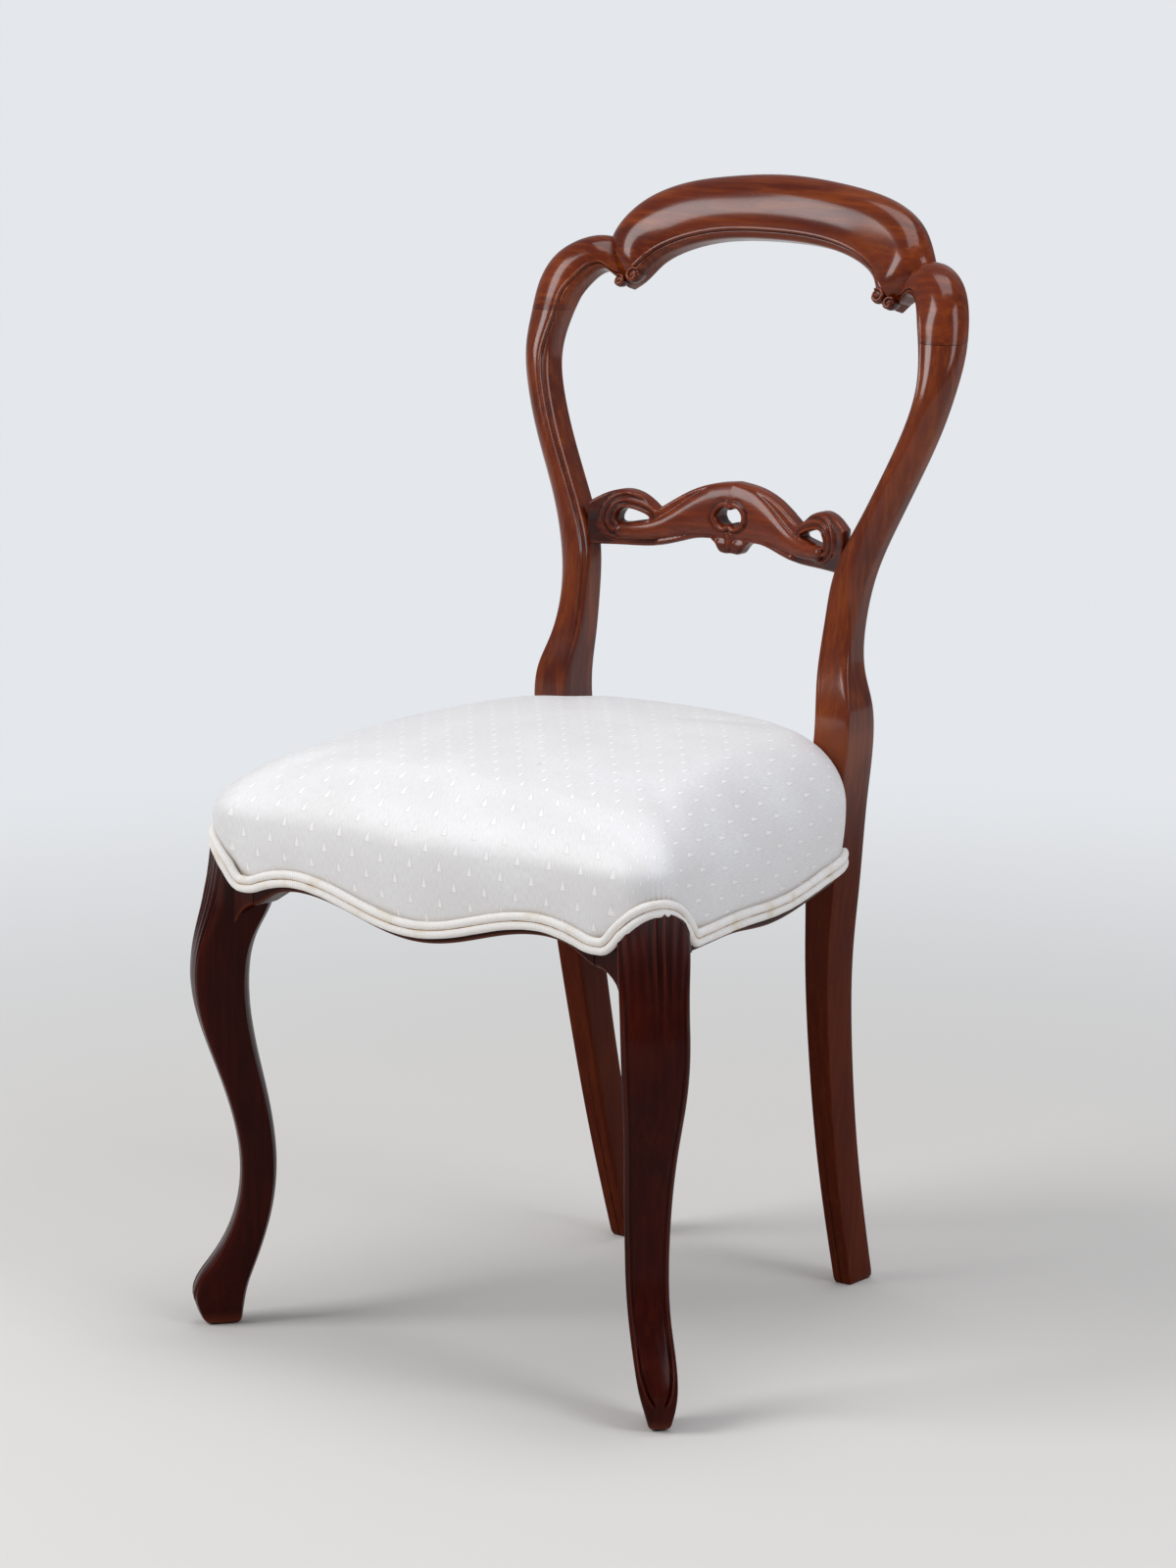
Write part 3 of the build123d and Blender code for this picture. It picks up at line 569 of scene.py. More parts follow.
# Inner edge, outer edge, tilt of the front face and how far it dips at the notch.
crest_tilt = 0.33
shoulder_stations = [
    ((169.8, 169.5, 781), (207.0, 171.0, 790), 0.15, 0.0),
    ((164.4, 177.5, 791), (198.0, 178.0, 810), 0.28, 0.0),
    ((157.0, 184.5, 799), (184.0, 186.5, 822), crest_tilt, 0.0),
    ((147.0, 189.0, 800), (167.0, 194.5, 828), crest_tilt, 0.0),
    ((137.0, 191.0, 793.5), (153.0, 198.5, 827), crest_tilt, 2.5),
    ((128.0, 191.5, 792), (147.0, 199.5, 824), crest_tilt, 9.0),
]
arch_stations = [
    ((131.0, 189.5, 788), (160.0, 198.0, 818), crest_tilt, 9.0),
    ((122.0, 190.5, 793.5), (156.0, 200.5, 828), crest_tilt, 2.5),
    ((109.0, 198.5, 808), (139.5, 210.0, 852), crest_tilt, 0.0),
    ((89.0, 207.0, 820), (109.0, 219.0, 869.5), crest_tilt, 0.0),
    ((52.0, 212.0, 829.5), (60.0, 225.0, 880), crest_tilt, 0.0),
    ((0.0, 213.0, 832.5), (0.0, 226.5, 884.5), crest_tilt, 0.0),
]
back_depth, back_edge_round = 25.0, 2.0
joint_gap = 0.16
foot_wear = 6.0
shoulder_moulding = (8.0, 18.0, 2, 5.0, 1.0)
arch_moulding = (8.0, 19.0, 2, 5.2, 1.0)


def upright_row(height, inner, outer, front, thick, *moulding):
    """One station of the upright run: two edges, thickness, tilt, dip and moulding."""
    middle = front + thick / 2
    return [inner, middle, height, outer, middle, height, thick, 0.0, 0.0, *moulding]


def shoulder_row(inner, outer, tilt, dip, *moulding):
    """One station of the shoulder or the arch."""
    return [*inner, *outer, back_depth, tilt, dip, *moulding]


def section(row):
    """One section of the back frame and its tone of painted highlight and shade, drawn on its two
    edges.

    The front face runs from the inner edge over the bead to the crown and rolls off outward."""
    inner, outer = row[0:3], row[3:6]
    thick, tilt, dip, roll_in, roll_out, square, band, bead = row[6:14]
    across = outer - inner
    width = np.linalg.norm(across)
    across = across / width
    facing = np.array([0.0, -1.0, tilt])
    facing = unit(facing - across * (facing @ across))
    crown = 0.42 * width
    near = np.linspace(0, band + 3.4, 22)
    far = np.linspace(band + 3.4, crown, 9)[1:]
    front = np.concatenate([near, far])
    share = np.clip((crown - front) / crown, 0, 1)
    depth = thick / 2 - roll_in * (1 - (1 - share ** square) ** (1 / square))
    half = band / 2
    swell = np.sqrt(np.clip(1 - ((front - half) / half) ** 2, 0, 1))
    rise = ease(-1.6, 0.0, (front - band) / 1.5)
    depth += bead * (rise + np.where(front < band, swell, 0))
    depth += bead * 0.55 * bump(front, band + 1.7, 0.75)
    # Painted highlight on the ridge above the groove, painted shade in the groove and on the bead.
    tone = bead * (0.30 * bump(front, band + 1.7, 0.7) - 0.75 * bump(front, band + 0.1, 0.6))
    tone = tone - bead * 0.2 * bump(front, half, 2.0)
    turn = np.linspace(0, np.pi / 2, 17)[1:]
    roll_across = crown + (width - crown) * np.sin(turn) ** (2 / square)
    roll_depth = thick / 2 - roll_out * (1 - np.cos(turn) ** (2 / square))
    corner = np.linspace(0, np.pi / 2, 5)
    outer_across = width - back_edge_round + back_edge_round * np.cos(corner)
    outer_depth = -thick / 2 + back_edge_round - back_edge_round * np.sin(corner)
    inner_across = back_edge_round - back_edge_round * np.sin(corner)
    inner_depth = -thick / 2 + back_edge_round - back_edge_round * np.cos(corner)
    side = np.linspace(roll_depth[-1], outer_depth[0], 5)[1:-1]
    back = np.linspace(outer_across[-1], inner_across[0], 6)[1:-1]
    inner_side = np.linspace(inner_depth[-1], depth[0], 6)[1:-1]
    a = np.concatenate([front, roll_across, np.full(3, width), outer_across, back,
                        inner_across, np.zeros(4)])
    d = np.concatenate([depth, roll_depth, side, outer_depth, np.full(4, -thick / 2),
                        inner_depth, inner_side])
    drop = np.clip((d + thick / 2) / thick, 0, 1) * dip
    tones = np.zeros(len(a))
    tones[:len(front)] = tone
    points = inner + a[:, None] * across + (d - drop)[:, None] * facing
    return points, tones


def run_of(rows, first, last, spacing, trim_start=0.0, trim_end=0.0):
    """Sections of the back frame from one station to another, evenly spaced."""
    rows = np.asarray(rows, float)
    middles = (rows[:, 0:3] + rows[:, 3:6]) / 2
    steps = np.linalg.norm(np.diff(middles, axis=0), axis=1)
    keys = np.concatenate([[0], np.cumsum(steps)])
    start, end = keys[first] + trim_start, keys[last] - trim_end
    at = np.linspace(start, end, int((end - start) / spacing) + 2)
    made = [section(row) for row in smooth_rows(keys, rows, at)]
    return np.array([m[0] for m in made]), np.concatenate([m[1] for m in made])


side_run = [upright_row(*station) for station in upright_stations]
side_run += [shoulder_row(*station, *shoulder_moulding) for station in shoulder_stations]
joint = len(upright_stations) - 1
lower_rings, lower_tone = run_of(side_run, 0, joint, 2.2, 0.0, joint_gap)
for ring in lower_rings:
    level = ring[:, 2].mean()
    shrink = 0.13 * (1 - math.sqrt(1 - max(1 - level / foot_wear, 0.0) ** 2))
    ring[:, :2] += (ring[:, :2].mean(0) - ring[:, :2]) * shrink
shoulder_rings, shoulder_tone = run_of(side_run, joint, len(side_run) - 1, 1.2, joint_gap)

arch_half_rows = [shoulder_row(*station, *arch_moulding) for station in arch_stations]
arch_run = [[-row[0], row[1], row[2], -row[3], row[4], row[5], *row[6:]]
            for row in arch_half_rows[:-1]]
arch_run += arch_half_rows[::-1]
arch_rings, arch_tone = run_of(arch_run, 0, len(arch_run) - 1, 2.0)

for word, flip in (("right", 1), ("left", -1)):
    points, faces = solid_tube(lower_rings * [flip, 1, 1])
    upright = make_piece("stile_and_leg_" + word, points, faces, wood_upright, lower_tone)
    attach(upright, "root")
    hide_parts("back_leg_" + word)


def volute(centre, reach, start, turns, sense):
    """A scroll: a ridge that curls in to a round eye, on a knob that fades into the rail."""
    facing = unit(np.array([0.0, -1.0, crest_tilt]))
    right = np.array([1.0, 0.0, 0.0])
    up = np.cross(facing, right)
    up = up if up[2] > 0 else -up
    share = np.linspace(0, 1, 46)
    angle = math.radians(start) + sense * share * turns * 2 * np.pi
    radius = reach * (1 - 0.62 * share ** 1.3)
    path = centre + radius[:, None] * (np.cos(angle)[:, None] * right + np.sin(angle)[:, None] * up)
    path = path + (9.3 + 0.9 * share)[:, None] * facing
    thick = 0.85 + 0.75 * np.sin(np.pi * share ** 1.4)
    along = unit(np.gradient(path, axis=0))
    side = unit(np.cross(along, facing))
    turn = np.linspace(0, 2 * np.pi, 12, endpoint=False)
    rings = [p + t * (np.cos(turn)[:, None] * s + np.sin(turn)[:, None] * facing)
             for p, t, s in zip(path, thick, side)]
    tube = solid_tube(rings)
    rim_turn = np.linspace(0, 2 * np.pi, 40, endpoint=False)
    rim = np.cos(rim_turn)[:, None] * right + np.sin(rim_turn)[:, None] * up
    levels = [(0.25, -9.0, 6.0), (0.55, -6.0, 4.0), (0.8, -2.0, 2.0), (0.95, 2.0, 0.5),
              (1.0, 5.0, 0.0), (1.0, 7.0, 0.0), (0.94, 8.3, 0.0), (0.75, 9.2, 0.0),
              (0.4, 9.6, 0.0), (0.1, 9.7, 0.0)]
    knob = [centre + rim * (reach * part) + facing * level + up * raised
            for part, level, raised in levels]
    body = solid_tube(knob)
    eye_rings = [centre + facing * (9.0 + 2.4 * math.sin(a)) + rim[::2] * reach * 0.42 * math.cos(a)
                 for a in np.linspace(0, 1.45, 8)]
    eye = solid_tube(eye_rings)
    # Painted highlight on the curling ridge and the eye, painted shade on the knob beneath them.
    return [(*tube, 0.25), (*body, -0.45), (*eye, 0.3)]


crest_parts = [(*solid_tube(arch_rings), arch_tone)]
for flip in (1, -1):
    crest_parts.append((*solid_tube(shoulder_rings * [flip, 1, 1]), shoulder_tone))
scrolls = volute(np.array([120.0, 190.5, 796.5]), 5.9, 125, 0.95, -1)
scrolls += volute(np.array([132.5, 188.5, 791.5]), 4.8, 55, 0.85, 1)
for points, faces, tone in scrolls:
    crest_parts.append((points, faces, tone))
    crest_parts.append((mirrored(points), faces, tone))
crest_points, crest_faces, crest_tone = gather(crest_parts)
crest = make_piece("crest_carved", crest_points, crest_faces, wood_across, crest_tone)
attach(crest, "root")
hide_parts("crest_rail")


# ---------------------------------------------------------------- mid rail

# Drawn lines of the right half, each as (x, z).
mid_top = [(0, 643.5), (24, 640), (44, 632.5), (60, 623), (70, 616.5)]
leaf_top = [(70, 616.5), (76, 621.5), (86, 628), (99, 631), (112, 628), (126, 620)]
mid_bottom = [(126, 586), (94, 586.5), (69, 587.5), (49, 592), (32, 596.3), (19, 597)]
pendant = [(19, 597), (13, 592), (9.5, 587.5), (0, 587)]
end_hole = [(102, 606.5), (99, 614.5), (89, 615.5), (75, 609.5), (88, 606)]
mid_rail_y = 150.0
mid_rail_sag = 23.0
mid_rail_half = 118.0
mid_rail_rake = math.tan(math.radians(6.9))
mid_rail_z = 600.0
mid_rail_thick = 17.0


def curve_through(points, spacing, closed=False):
    """A smooth line through drawn points, evenly spaced."""
    points = np.asarray(points, float)
    if closed:
        points = np.vstack([points[-3:], points, points[:3]])
    steps = np.linalg.norm(np.diff(points, axis=0), axis=1)
    keys = np.concatenate([[0], np.cumsum(steps)])
    start, end = (keys[3], keys[-3]) if closed else (keys[0], keys[-1])
    count = max(int((end - start) / spacing), 3)
    line = smooth_rows(keys, points, np.linspace(start, end, count + 1))
    return line[:-1] if closed else line


half_top = np.vstack([curve_through(mid_top, 1.0)[:-1], curve_through(leaf_top, 1.0)])
low_edge = curve_through(mid_bottom, 1.0)
pendant_edge = curve_through(pendant, 1.0)
end_line = np.array([(126.0, z) for z in np.linspace(620, 586, 24)])[1:-1]
half_line = np.vstack([half_top, end_line, low_edge[:-1], pendant_edge])
left_line = (half_line * [-1, 1])[::-1]
mid_outline = np.vstack([half_line[:-1], left_line[:-1]])
leaf_hole = curve_through(end_hole, 0.9, closed=True)
lobe = np.linspace(0, 2 * np.pi, 84, endpoint=False)
heart = np.stack([np.sin(lobe) * 12.5, np.cos(lobe) * 8.3], axis=1)
heart[:, 1] *= 1 - 0.34 * bump(heart[:, 0], 0, 3.6)
heart = heart + [0, 616.5]
band_spine = curve_through([(0, 621), (24, 618.5), (45, 611), (62, 603.5), (78, 599.2),
                            (96, 598.6)], 1.5)
band_half_x = [0, 22, 40, 52, 64, 76, 96]
band_half_wide = [23.0, 20.0, 14.5, 11.0, 8.6, 7.4, 6.4]


def rail_relief(points):
    """How far the carved face of the mid rail stands above its flat, and its tone of painted light.
    """
    folded = np.abs(points * [1, 0]) + points * [0, 1]
    x, z = folded[:, 0], folded[:, 1]
    edge = distance_to(points, mid_outline, True)
    eye = distance_to(points, heart, True)
    hole = distance_to(folded, leaf_hole, True)
    low = distance_to(folded, low_edge)
    # The plump S band that ends in a round knob beside the leaf.
    wide = np.interp(x, band_half_x, band_half_wide)
    share = np.clip(distance_to(folded, band_spine) / wide, 0, 1)
    band = 1.6 - 6.0 * (1 - np.sqrt(1 - share ** 2.4))
    # The strip along the lower edge that runs out into the leaf.
    strip = -1.4 - 1.5 * np.clip(1 - low / 2.6, 0, 1) ** 2 - 1.1 * np.clip((low - 3.4) / 2.4, 0, 1)
    # The leaf, with three ribs that curl round the piercing.
    turn = np.minimum(hole, 16.0)
    vein = np.cos(2 * np.pi * (turn - 1.6) / 5.4)
    flare = np.clip((z - 604) / 10, 0, 1)
    leaf = -2.4 + 1.15 * vein - 1.6 * np.clip(turn / 15, 0, 1) ** 2 + 0.8 * flare
    on_leaf = ease(0, 1, (x - 64) / 8)
    other = strip * (1 - on_leaf) + leaf * on_leaf
    near = np.clip(1 - np.minimum(edge, hole) / 2.6, 0, 1)
    other = other - 2.0 * (1 - np.sqrt(1 - near ** 2))
    relief = np.maximum(band, other)
    # The tone is painted light: painted shade in valleys and grooves, painted highlight on ribs and
    # edges.
    valley = np.exp(-np.abs(band - other) / 0.55) * ease(0, 1, (x - 8) / 8)
    covered = ease(0, 1, (edge - 0.5) / 2)
    tone = -0.95 * valley * covered
    tone += on_leaf * 0.35 * np.clip(vein, 0, 1) ** 3 * (other > band)
    tone -= on_leaf * 0.75 * np.clip(-vein, 0, 1) ** 2 * (other > band)
    tone += 0.25 * bump(low, 1.6, 1.2) * (1 - on_leaf)
    round_off = np.clip(1 - np.minimum(edge, eye) / 2.0, 0, 1)
    relief = relief - 1.6 * (1 - np.sqrt(1 - round_off ** 2))
    # Two C scrolls round the heart, a pointed leaf below them and the lobes of the pendant.
    split = 1 - 0.75 * bump(x, 0, 1.2)
    relief += 3.3 * split * bump(eye, 2.6, 1.6)
    tone += 0.25 * split * bump(eye, 2.6, 1.0) - 0.85 * bump(eye, 5.4, 0.9)
    relief -= 1.1 * bump(eye, 5.6, 1.3)
    for height in (627.8, 604.6):
        curl = np.hypot(x - 3.6, z - height)
        relief += 1.2 * bump(curl, 0, 2.2)
        tone += 0.2 * bump(curl, 0, 2.0)
    side = x / np.clip((z - 585.5) * 0.36, 0.3, 5)
    blade = np.clip(1 - side, 0, 1) * ease(0, 1, (604 - z) / 3) * ease(0, 1, (z - 586) / 3)
    relief += 3.0 * blade
    tone += 0.3 * blade - 0.6 * bump(side, 1.05, 0.2) * (z < 602) * (z > 586)
    drop = np.hypot((x - 8.0) / 8.5, (z - 593.0) / 6.0)
    relief += 1.5 * np.clip(1 - drop ** 2, 0, 1)
    return np.minimum(relief, 2.6), np.clip(tone, -1, 1)


def dished(x, z, forward):
    """A point of the mid rail, bent to its dish and leaned back, forward of its flat face."""
    radius = mid_rail_half ** 2 / (2 * mid_rail_sag) + mid_rail_sag / 2
    y = mid_rail_y - radius + np.sqrt(radius ** 2 - x ** 2)
    return np.stack([x, y + mid_rail_rake * (z - mid_rail_z) - forward, z], axis=1)


def carved_rail():
    """The mid rail's points, faces and tone."""
    holes = [heart, leaf_hole, leaf_hole * [-1, 1]]
    flat, faces, sizes = filled(mid_outline, holes, 0.95)
    relief, tone = rail_relief(flat)
    front = dished(flat[:, 0], flat[:, 1], relief)
    edge = np.full(len(flat), 1e9)
    for loop in [mid_outline] + holes:
        edge = np.minimum(edge, distance_to(flat, loop, True))
    near = np.clip(1 - edge / 3.0, 0, 1)
    behind = mid_rail_thick - 3.0 * (1 - np.sqrt(1 - near ** 2))
    back = dished(flat[:, 0], flat[:, 1], -behind)
    count = len(flat)
    all_faces = [tuple(face) for face in faces]
    all_faces += [tuple(face[::-1] + count) for face in faces]
    points = [front, back]
    start, first = 0, 2 * count
    for size in sizes:
        ring = np.arange(start, start + size)
        rows = [ring]
        for share in (0.25, 0.5, 0.75):
            points.append(front[ring] * (1 - share) + back[ring] * share)
            rows.append(np.arange(first, first + size))
            first += size
        rows.append(ring + count)
        for upper, lower in zip(rows, rows[1:]):
            for i in range(size):
                j = (i + 1) % size
                all_faces.append((upper[i], lower[i], lower[j], upper[j]))
        start += size
    points = np.vstack(points)
    tones = np.zeros(len(points))
    tones[:count] = tone
    return points, all_faces, tones


rail_points, rail_faces, rail_tone = carved_rail()
rail = make_piece("mid_rail_carved", rail_points, rail_faces, wood_carved, rail_tone)
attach(rail, "root")
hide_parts("mid_rail")


# ---------------------------------------------------------------- seat outline and trim

corner_x, corner_y = 221.0, -238.0
bow_y = -247.0
back_edge_x, back_edge_y = 161.0, 118.0
corner_round, back_round = 28.0, 82.0
front_foot_x, front_foot_y = 214.0, -225.0
cover_thick = 1.5
rail_thick = 24.0
rail_top = 407.0
cord_radius = 3.2
cord_spacing = 6.6
cord_gap = 0.5
stile_inner_x = 116.8
stile_front_y = 95.5
front_post_x, front_post_y = 166.0, -178.0
arch_front, arch_side, arch_foot, arch_rise = 38.5, 30.5, 357.5, 31.5
front_low, front_peak, front_peak_x = 347.5, 368.5, 118.0
front_notch_x, front_notch = 164.0, 357.5
side_notch_y, side_notch = -184.0, 357.5
side_peak_y, side_peak = -125.0, 357.5
side_dip_y, side_dip = -40.0, 354.3
side_end_y, side_end = 88.0, 365.0
wood_lip = 5.5
ear_drop = 24.0
ear_reach = 22.0
front_ear_x = 189.0
side_ear_y = -200.0


def rounded(corner, before, after, radius, count):
    """An arc that rounds the corner between two directions."""
    before, after = unit(np.array(before, float)), unit(np.array(after, float))
    half = math.acos(np.clip(before @ after, -1, 1)) / 2
    reach = radius / math.tan(half)
    start, end = corner + before * reach, corner + after * reach
    centre = corner + unit(before + after) * radius / math.sin(half)
    a, b = unit(start - centre), unit(end - centre)
    sweep = math.acos(np.clip(a @ b, -1, 1))
    shares = np.linspace(0, 1, count)[:, None]
    mix = (np.sin((1 - shares) * sweep) * a + np.sin(shares * sweep) * b) / math.sin(sweep)
    return centre + mix * radius


def outline_of_seat():
    """The seat's outline at the cover's face, from the middle of the back, by the right side."""
    bow = (corner_x ** 2 + (corner_y - bow_y) ** 2) / (2 * (corner_y - bow_y))
    slope = corner_x / bow
    side = np.array([back_edge_x - corner_x, back_edge_y - corner_y])
    back = rounded(np.array([back_edge_x, back_edge_y]), (-1, 0), -side, back_round, 60)
    front = rounded(np.array([corner_x, corner_y]), side, (-1, -slope), corner_round, 30)
    sweep = np.linspace(front[-1][0], 0, 60)[1:]
    arc = np.stack([sweep, bow_y + bow - np.sqrt(bow ** 2 - sweep ** 2)], axis=1)
    half = np.vstack([[(0, back_edge_y)], back, front, arc])
    return np.vstack([half, (half * [-1, 1])[::-1][1:-1]])


seat_line = outline_of_seat()


def seat_ring(grow, count):
    """Evenly spaced points of the seat's outline moved outward by grow, and their outward ways."""
    loop = np.vstack([seat_line, seat_line[:1]])
    keys = np.concatenate([[0], np.cumsum(np.linalg.norm(np.diff(loop, axis=0), axis=1))])
    at = np.linspace(0, keys[-1], count, endpoint=False)
    points = np.stack([np.interp(at, keys, loop[:, i]) for i in (0, 1)], axis=1)
    along = unit(np.roll(points, -1, axis=0) - np.roll(points, 1, axis=0))
    outward = np.stack([-along[:, 1], along[:, 0]], axis=1)
    outward *= np.sign((outward * (points - points.mean(0))).sum(1).mean())
    return points + outward * grow, outward


def leg_across(x, y):
    """How far a plan point lies across a front leg's diagonal."""
    return ((np.abs(x) - front_foot_x) + (y - front_foot_y)) / math.sqrt(2)


def front_edge(x):
    """Height of the trim's lower edge along the front."""
    x = np.abs(x)
    share = np.clip((x - front_peak_x) / (front_notch_x - front_peak_x), 0, 1)
    far = front_peak - (front_peak - front_notch) * share ** 1.8
    return np.where(x < front_peak_x, ease(front_low, front_peak, x / front_peak_x), far)


def side_edge(y):
    """Height of the trim's lower edge along a side."""
    first = ease(side_notch, side_peak, (y - side_notch_y) / (side_peak_y - side_notch_y))
    second = ease(side_peak, side_dip, (y - side_peak_y) / (side_dip_y - side_peak_y))
    third = ease(side_dip, side_end, (y - side_dip_y) / (side_end_y - side_dip_y))
    return np.where(y < side_peak_y, first, np.where(y < side_dip_y, second, third))


def arch_edge(across):
    """Height of the trim's lower edge over a front leg."""
    share = np.where(across < 0, -across / arch_front, across / arch_side)
    return arch_foot + arch_rise * (1 - np.clip(share, 0, 1) ** 2.3)


def trim_edge(x, y):
    """Height of the trim's lower edge at a point of the seat's outline."""
    across = leg_across(x, y)
    other = np.where(across < 0, front_edge(x), side_edge(y))
    edge = np.where((across > -arch_front) & (across < arch_side), arch_edge(across), other)
    behind = (np.abs(x) < stile_inner_x) & (y > stile_front_y)
    return np.where(behind, side_end, edge)


# ---------------------------------------------------------------- front legs

# Height, and along the leg's diagonal from its foot's middle: reach of the front face, reach of
# the back face, width and sideways shift.
cabriole_stations = [
    (0, 15.5, -13.0, 16.0, -0.6),
    (6, 19.0, -13.8, 18.8, -0.9),
    (14, 22.4, -15.0, 22.6, -1.3),
    (30, 24.5, -18.0, 29.0, -2.5),
    (52, 11.5, -25.6, 32.0, -3.5),
    (74, -1.1, -32.8, 32.0, -5.0),
    (100, -9.5, -39.0, 32.5, -6.0),
    (135, -12.3, -41.8, 34.0, -6.0),
    (175, -5.5, -37.8, 37.0, -6.0),
    (215, 7.5, -29.7, 41.5, -5.5),
    (250, 19.2, -23.6, 47.5, -5.0),
    (286, 24.4, -22.3, 51.5, -5.0),
    (319, 20.0, -29.6, 52.0, -5.0),
    (345, 13.5, -42.0, 52.6, -4.5),
    (372, 8.0, -43.0, 54.0, -4.0),
    (400, 5.0, -43.0, 54.0, -4.0),
]
toe_top, toe_low = 50.0, 19.0
flute_low, spread_low, panel_top, leg_top = 296.0, 300.0, 372.0, 400.0
flute_pitch = 6.6
post_low, post_high = 352.0, 404.0
leg_outward = unit(np.array([1.0, -1.0]))
leg_sideways = unit(np.array([1.0, 1.0]))


def knee_face(level, reach, width, share):
    """The leg's front face at one level: how far out it lies, and its tone of painted light.

    It has a sunk panel with a raised edge, and flutes from the knee up to the piping."""
    half = width / 2
    side = share * half
    edge_round = 2.2 * np.clip((np.abs(share) - 0.9) / 0.1, 0, 1) ** 2
    front = reach - 0.1 * width * share ** 2 - edge_round
    panel = half - 4.6
    if level < toe_top:
        drop = min((toe_top - level) / (toe_top - toe_low), 1.0)
        panel = panel * math.sqrt(max(1 - drop ** 2, 0.0))
    inner = np.abs(side) - panel
    strength = float(np.clip((level - toe_low) / 4, 0, 1) * np.clip((panel_top - level) / 30, 0, 1))
    toe = 1 + 0.9 * float(np.clip((70 - level) / 30, 0, 1))
    front = front - strength * toe * (0.9 * bump(inner, 0, 0.9) - 0.6 * bump(inner, 1.9, 0.8))
    front = front - strength * (1.1 - 0.6 * toe) * np.clip(-inner / 6, 0, 1)
    # Painted highlight on the panel's raised edge and the flute ridges, painted shade in the groove
    # and hollows.
    tone = strength * (0.45 * bump(inner, 2.0, 0.8) - 0.55 * bump(inner, 0, 0.9))
    climb = float(np.clip((level - flute_low) / 60, 0, 1))
    flute = climb * (0.75 + 0.35 * np.sin(share * 5.1 + 0.8))
    lean = 0.7 * np.sin(level / 19 + 2.1 * share)
    wave = np.cos(2 * np.pi * side / (flute_pitch * (0.86 + 0.2 * climb)) + lean)
    tone = tone + flute * (0.45 * np.clip(wave, 0, 1) ** 2 - 0.7 * np.clip(-wave, 0, 1) ** 2)
    return front + flute * 1.15 * wave, tone


def cabriole_leg():
    """The right front leg's points, faces and tone."""
    levels = np.concatenate([np.arange(0, 60, 1.5), np.arange(60, 300, 4.0),
                             np.arange(300, 401, 2.0)])
    keys = [station[0] for station in cabriole_stations]
    rows = smooth_rows(keys, [station[1:] for station in cabriole_stations], levels)
    share = np.linspace(-1, 1, 65)
    side_steps = np.linspace(0, 1, 10)[1:-1]
    turn = np.linspace(1, -1, 15)
    flank = np.linspace(leg_top - 34, leg_top, 8)
    rings, tones = [], []
    for level, (reach, inset, width, shift) in zip(levels, rows):
        half, narrow, crown = width / 2, width / 2 * 0.8, 0.1 * width
        side = share * half
        front, tone = knee_face(level, reach, width, share)
        flank_out = front[-1] + (inset + crown - front[-1]) * side_steps
        flank_side = half + (narrow - half) * side_steps
        out = np.concatenate([front, flank_out, inset + crown * turn ** 2, flank_out[::-1]])
        aside = np.concatenate([side, flank_side, narrow * turn, -flank_side[::-1]]) + shift
        ceiling = np.concatenate([arch_edge(side + shift) + 3.0, flank, np.full(15, leg_top),
                                  flank[::-1]])
        lift = np.clip((level - spread_low) / (leg_top - spread_low), 0, 1)
        height = np.where(level > spread_low, spread_low + (ceiling - spread_low) * lift, level)
        rounding = 3.0 * (1 - math.sqrt(1 - max(1 - level / 5.0, 0.0) ** 2))
        gap = out - out.mean()
        out = out - np.sign(gap) * np.minimum(rounding, np.abs(gap))
        gap = aside - aside.mean()
        aside = aside - np.sign(gap) * np.minimum(rounding, np.abs(gap))
        plan = np.array([front_foot_x, front_foot_y]) + out[:, None] * leg_outward
        plan = plan + aside[:, None] * leg_sideways
        rings.append(np.column_stack([plan, height]))
        lightened = 0.9 * np.clip((12 - level) / 12, 0, 1)
        ring_tone = np.full(len(out), lightened)
        ring_tone[:len(tone)] = tone + lightened
        tones.append(ring_tone)
    points, faces = solid_tube(rings)
    return points, faces, np.clip(np.concatenate(tones), -1, 1)


def leg_post():
    """The square post behind the knee, between the two rails."""
    ring, _ = seat_ring(-cover_thick - 1.0, 1200)
    keep = (ring[:, 0] > front_post_x) & (ring[:, 1] < front_post_y)
    edge = ring[keep]
    edge = edge[np.argsort(np.arctan2(edge[:, 1] + 180, edge[:, 0] - 160))][::4]
    loop = np.vstack([[(front_post_x, front_post_y)], [(front_post_x, edge[0][1])], edge,
                      [(edge[-1][0], front_post_y)]])
    flat, faces, sizes = filled(loop, [], 3.0)
    low, high = np.full(len(flat), post_low), np.full(len(flat), post_high)
    return *slab(flat, faces, sizes[0], low, high), 0.0


# ---------------------------------------------------------------- seat rails


def rail_along(points, outward, low):
    """One rail swept along the outline, with a rounded lip below the trim and a painted highlight
    on it.
    """
    top = rail_top - 0.4
    lip = [(0.0, 3.4), (-0.3, 2.2), (-1.0, 1.0), (-2.2, 0.3), (-3.6, 0.0), (-22.6, 0.0),
           (-rail_thick, 1.4)]
    rings = []
    for spot, way, height in zip(points, outward, low):
        ring = [(*spot, top), (*spot, height + (rail_top - height) * 0.5)]
        ring += [(*(spot + way * inward), height + up) for inward, up in lip]
        rings.append(ring + [(*(spot + way * -rail_thick), top)])
    points, faces = solid_tube(rings)
    # Painted highlight along the lip's rounded lower edge.
    tone = np.tile([0, 0, 0.0, 0.4, 0.7, 0.5, 0.0, 0, 0, 0], len(rings))
    return points, faces, tone


def hollow_drop(share):
    """How far a rail's lower edge has dropped where it curves down into a leg."""
    share = np.clip(share, 0, 1)
    return ear_drop * (1 - (1 - share ** 1.7) ** (1 / 1.7))


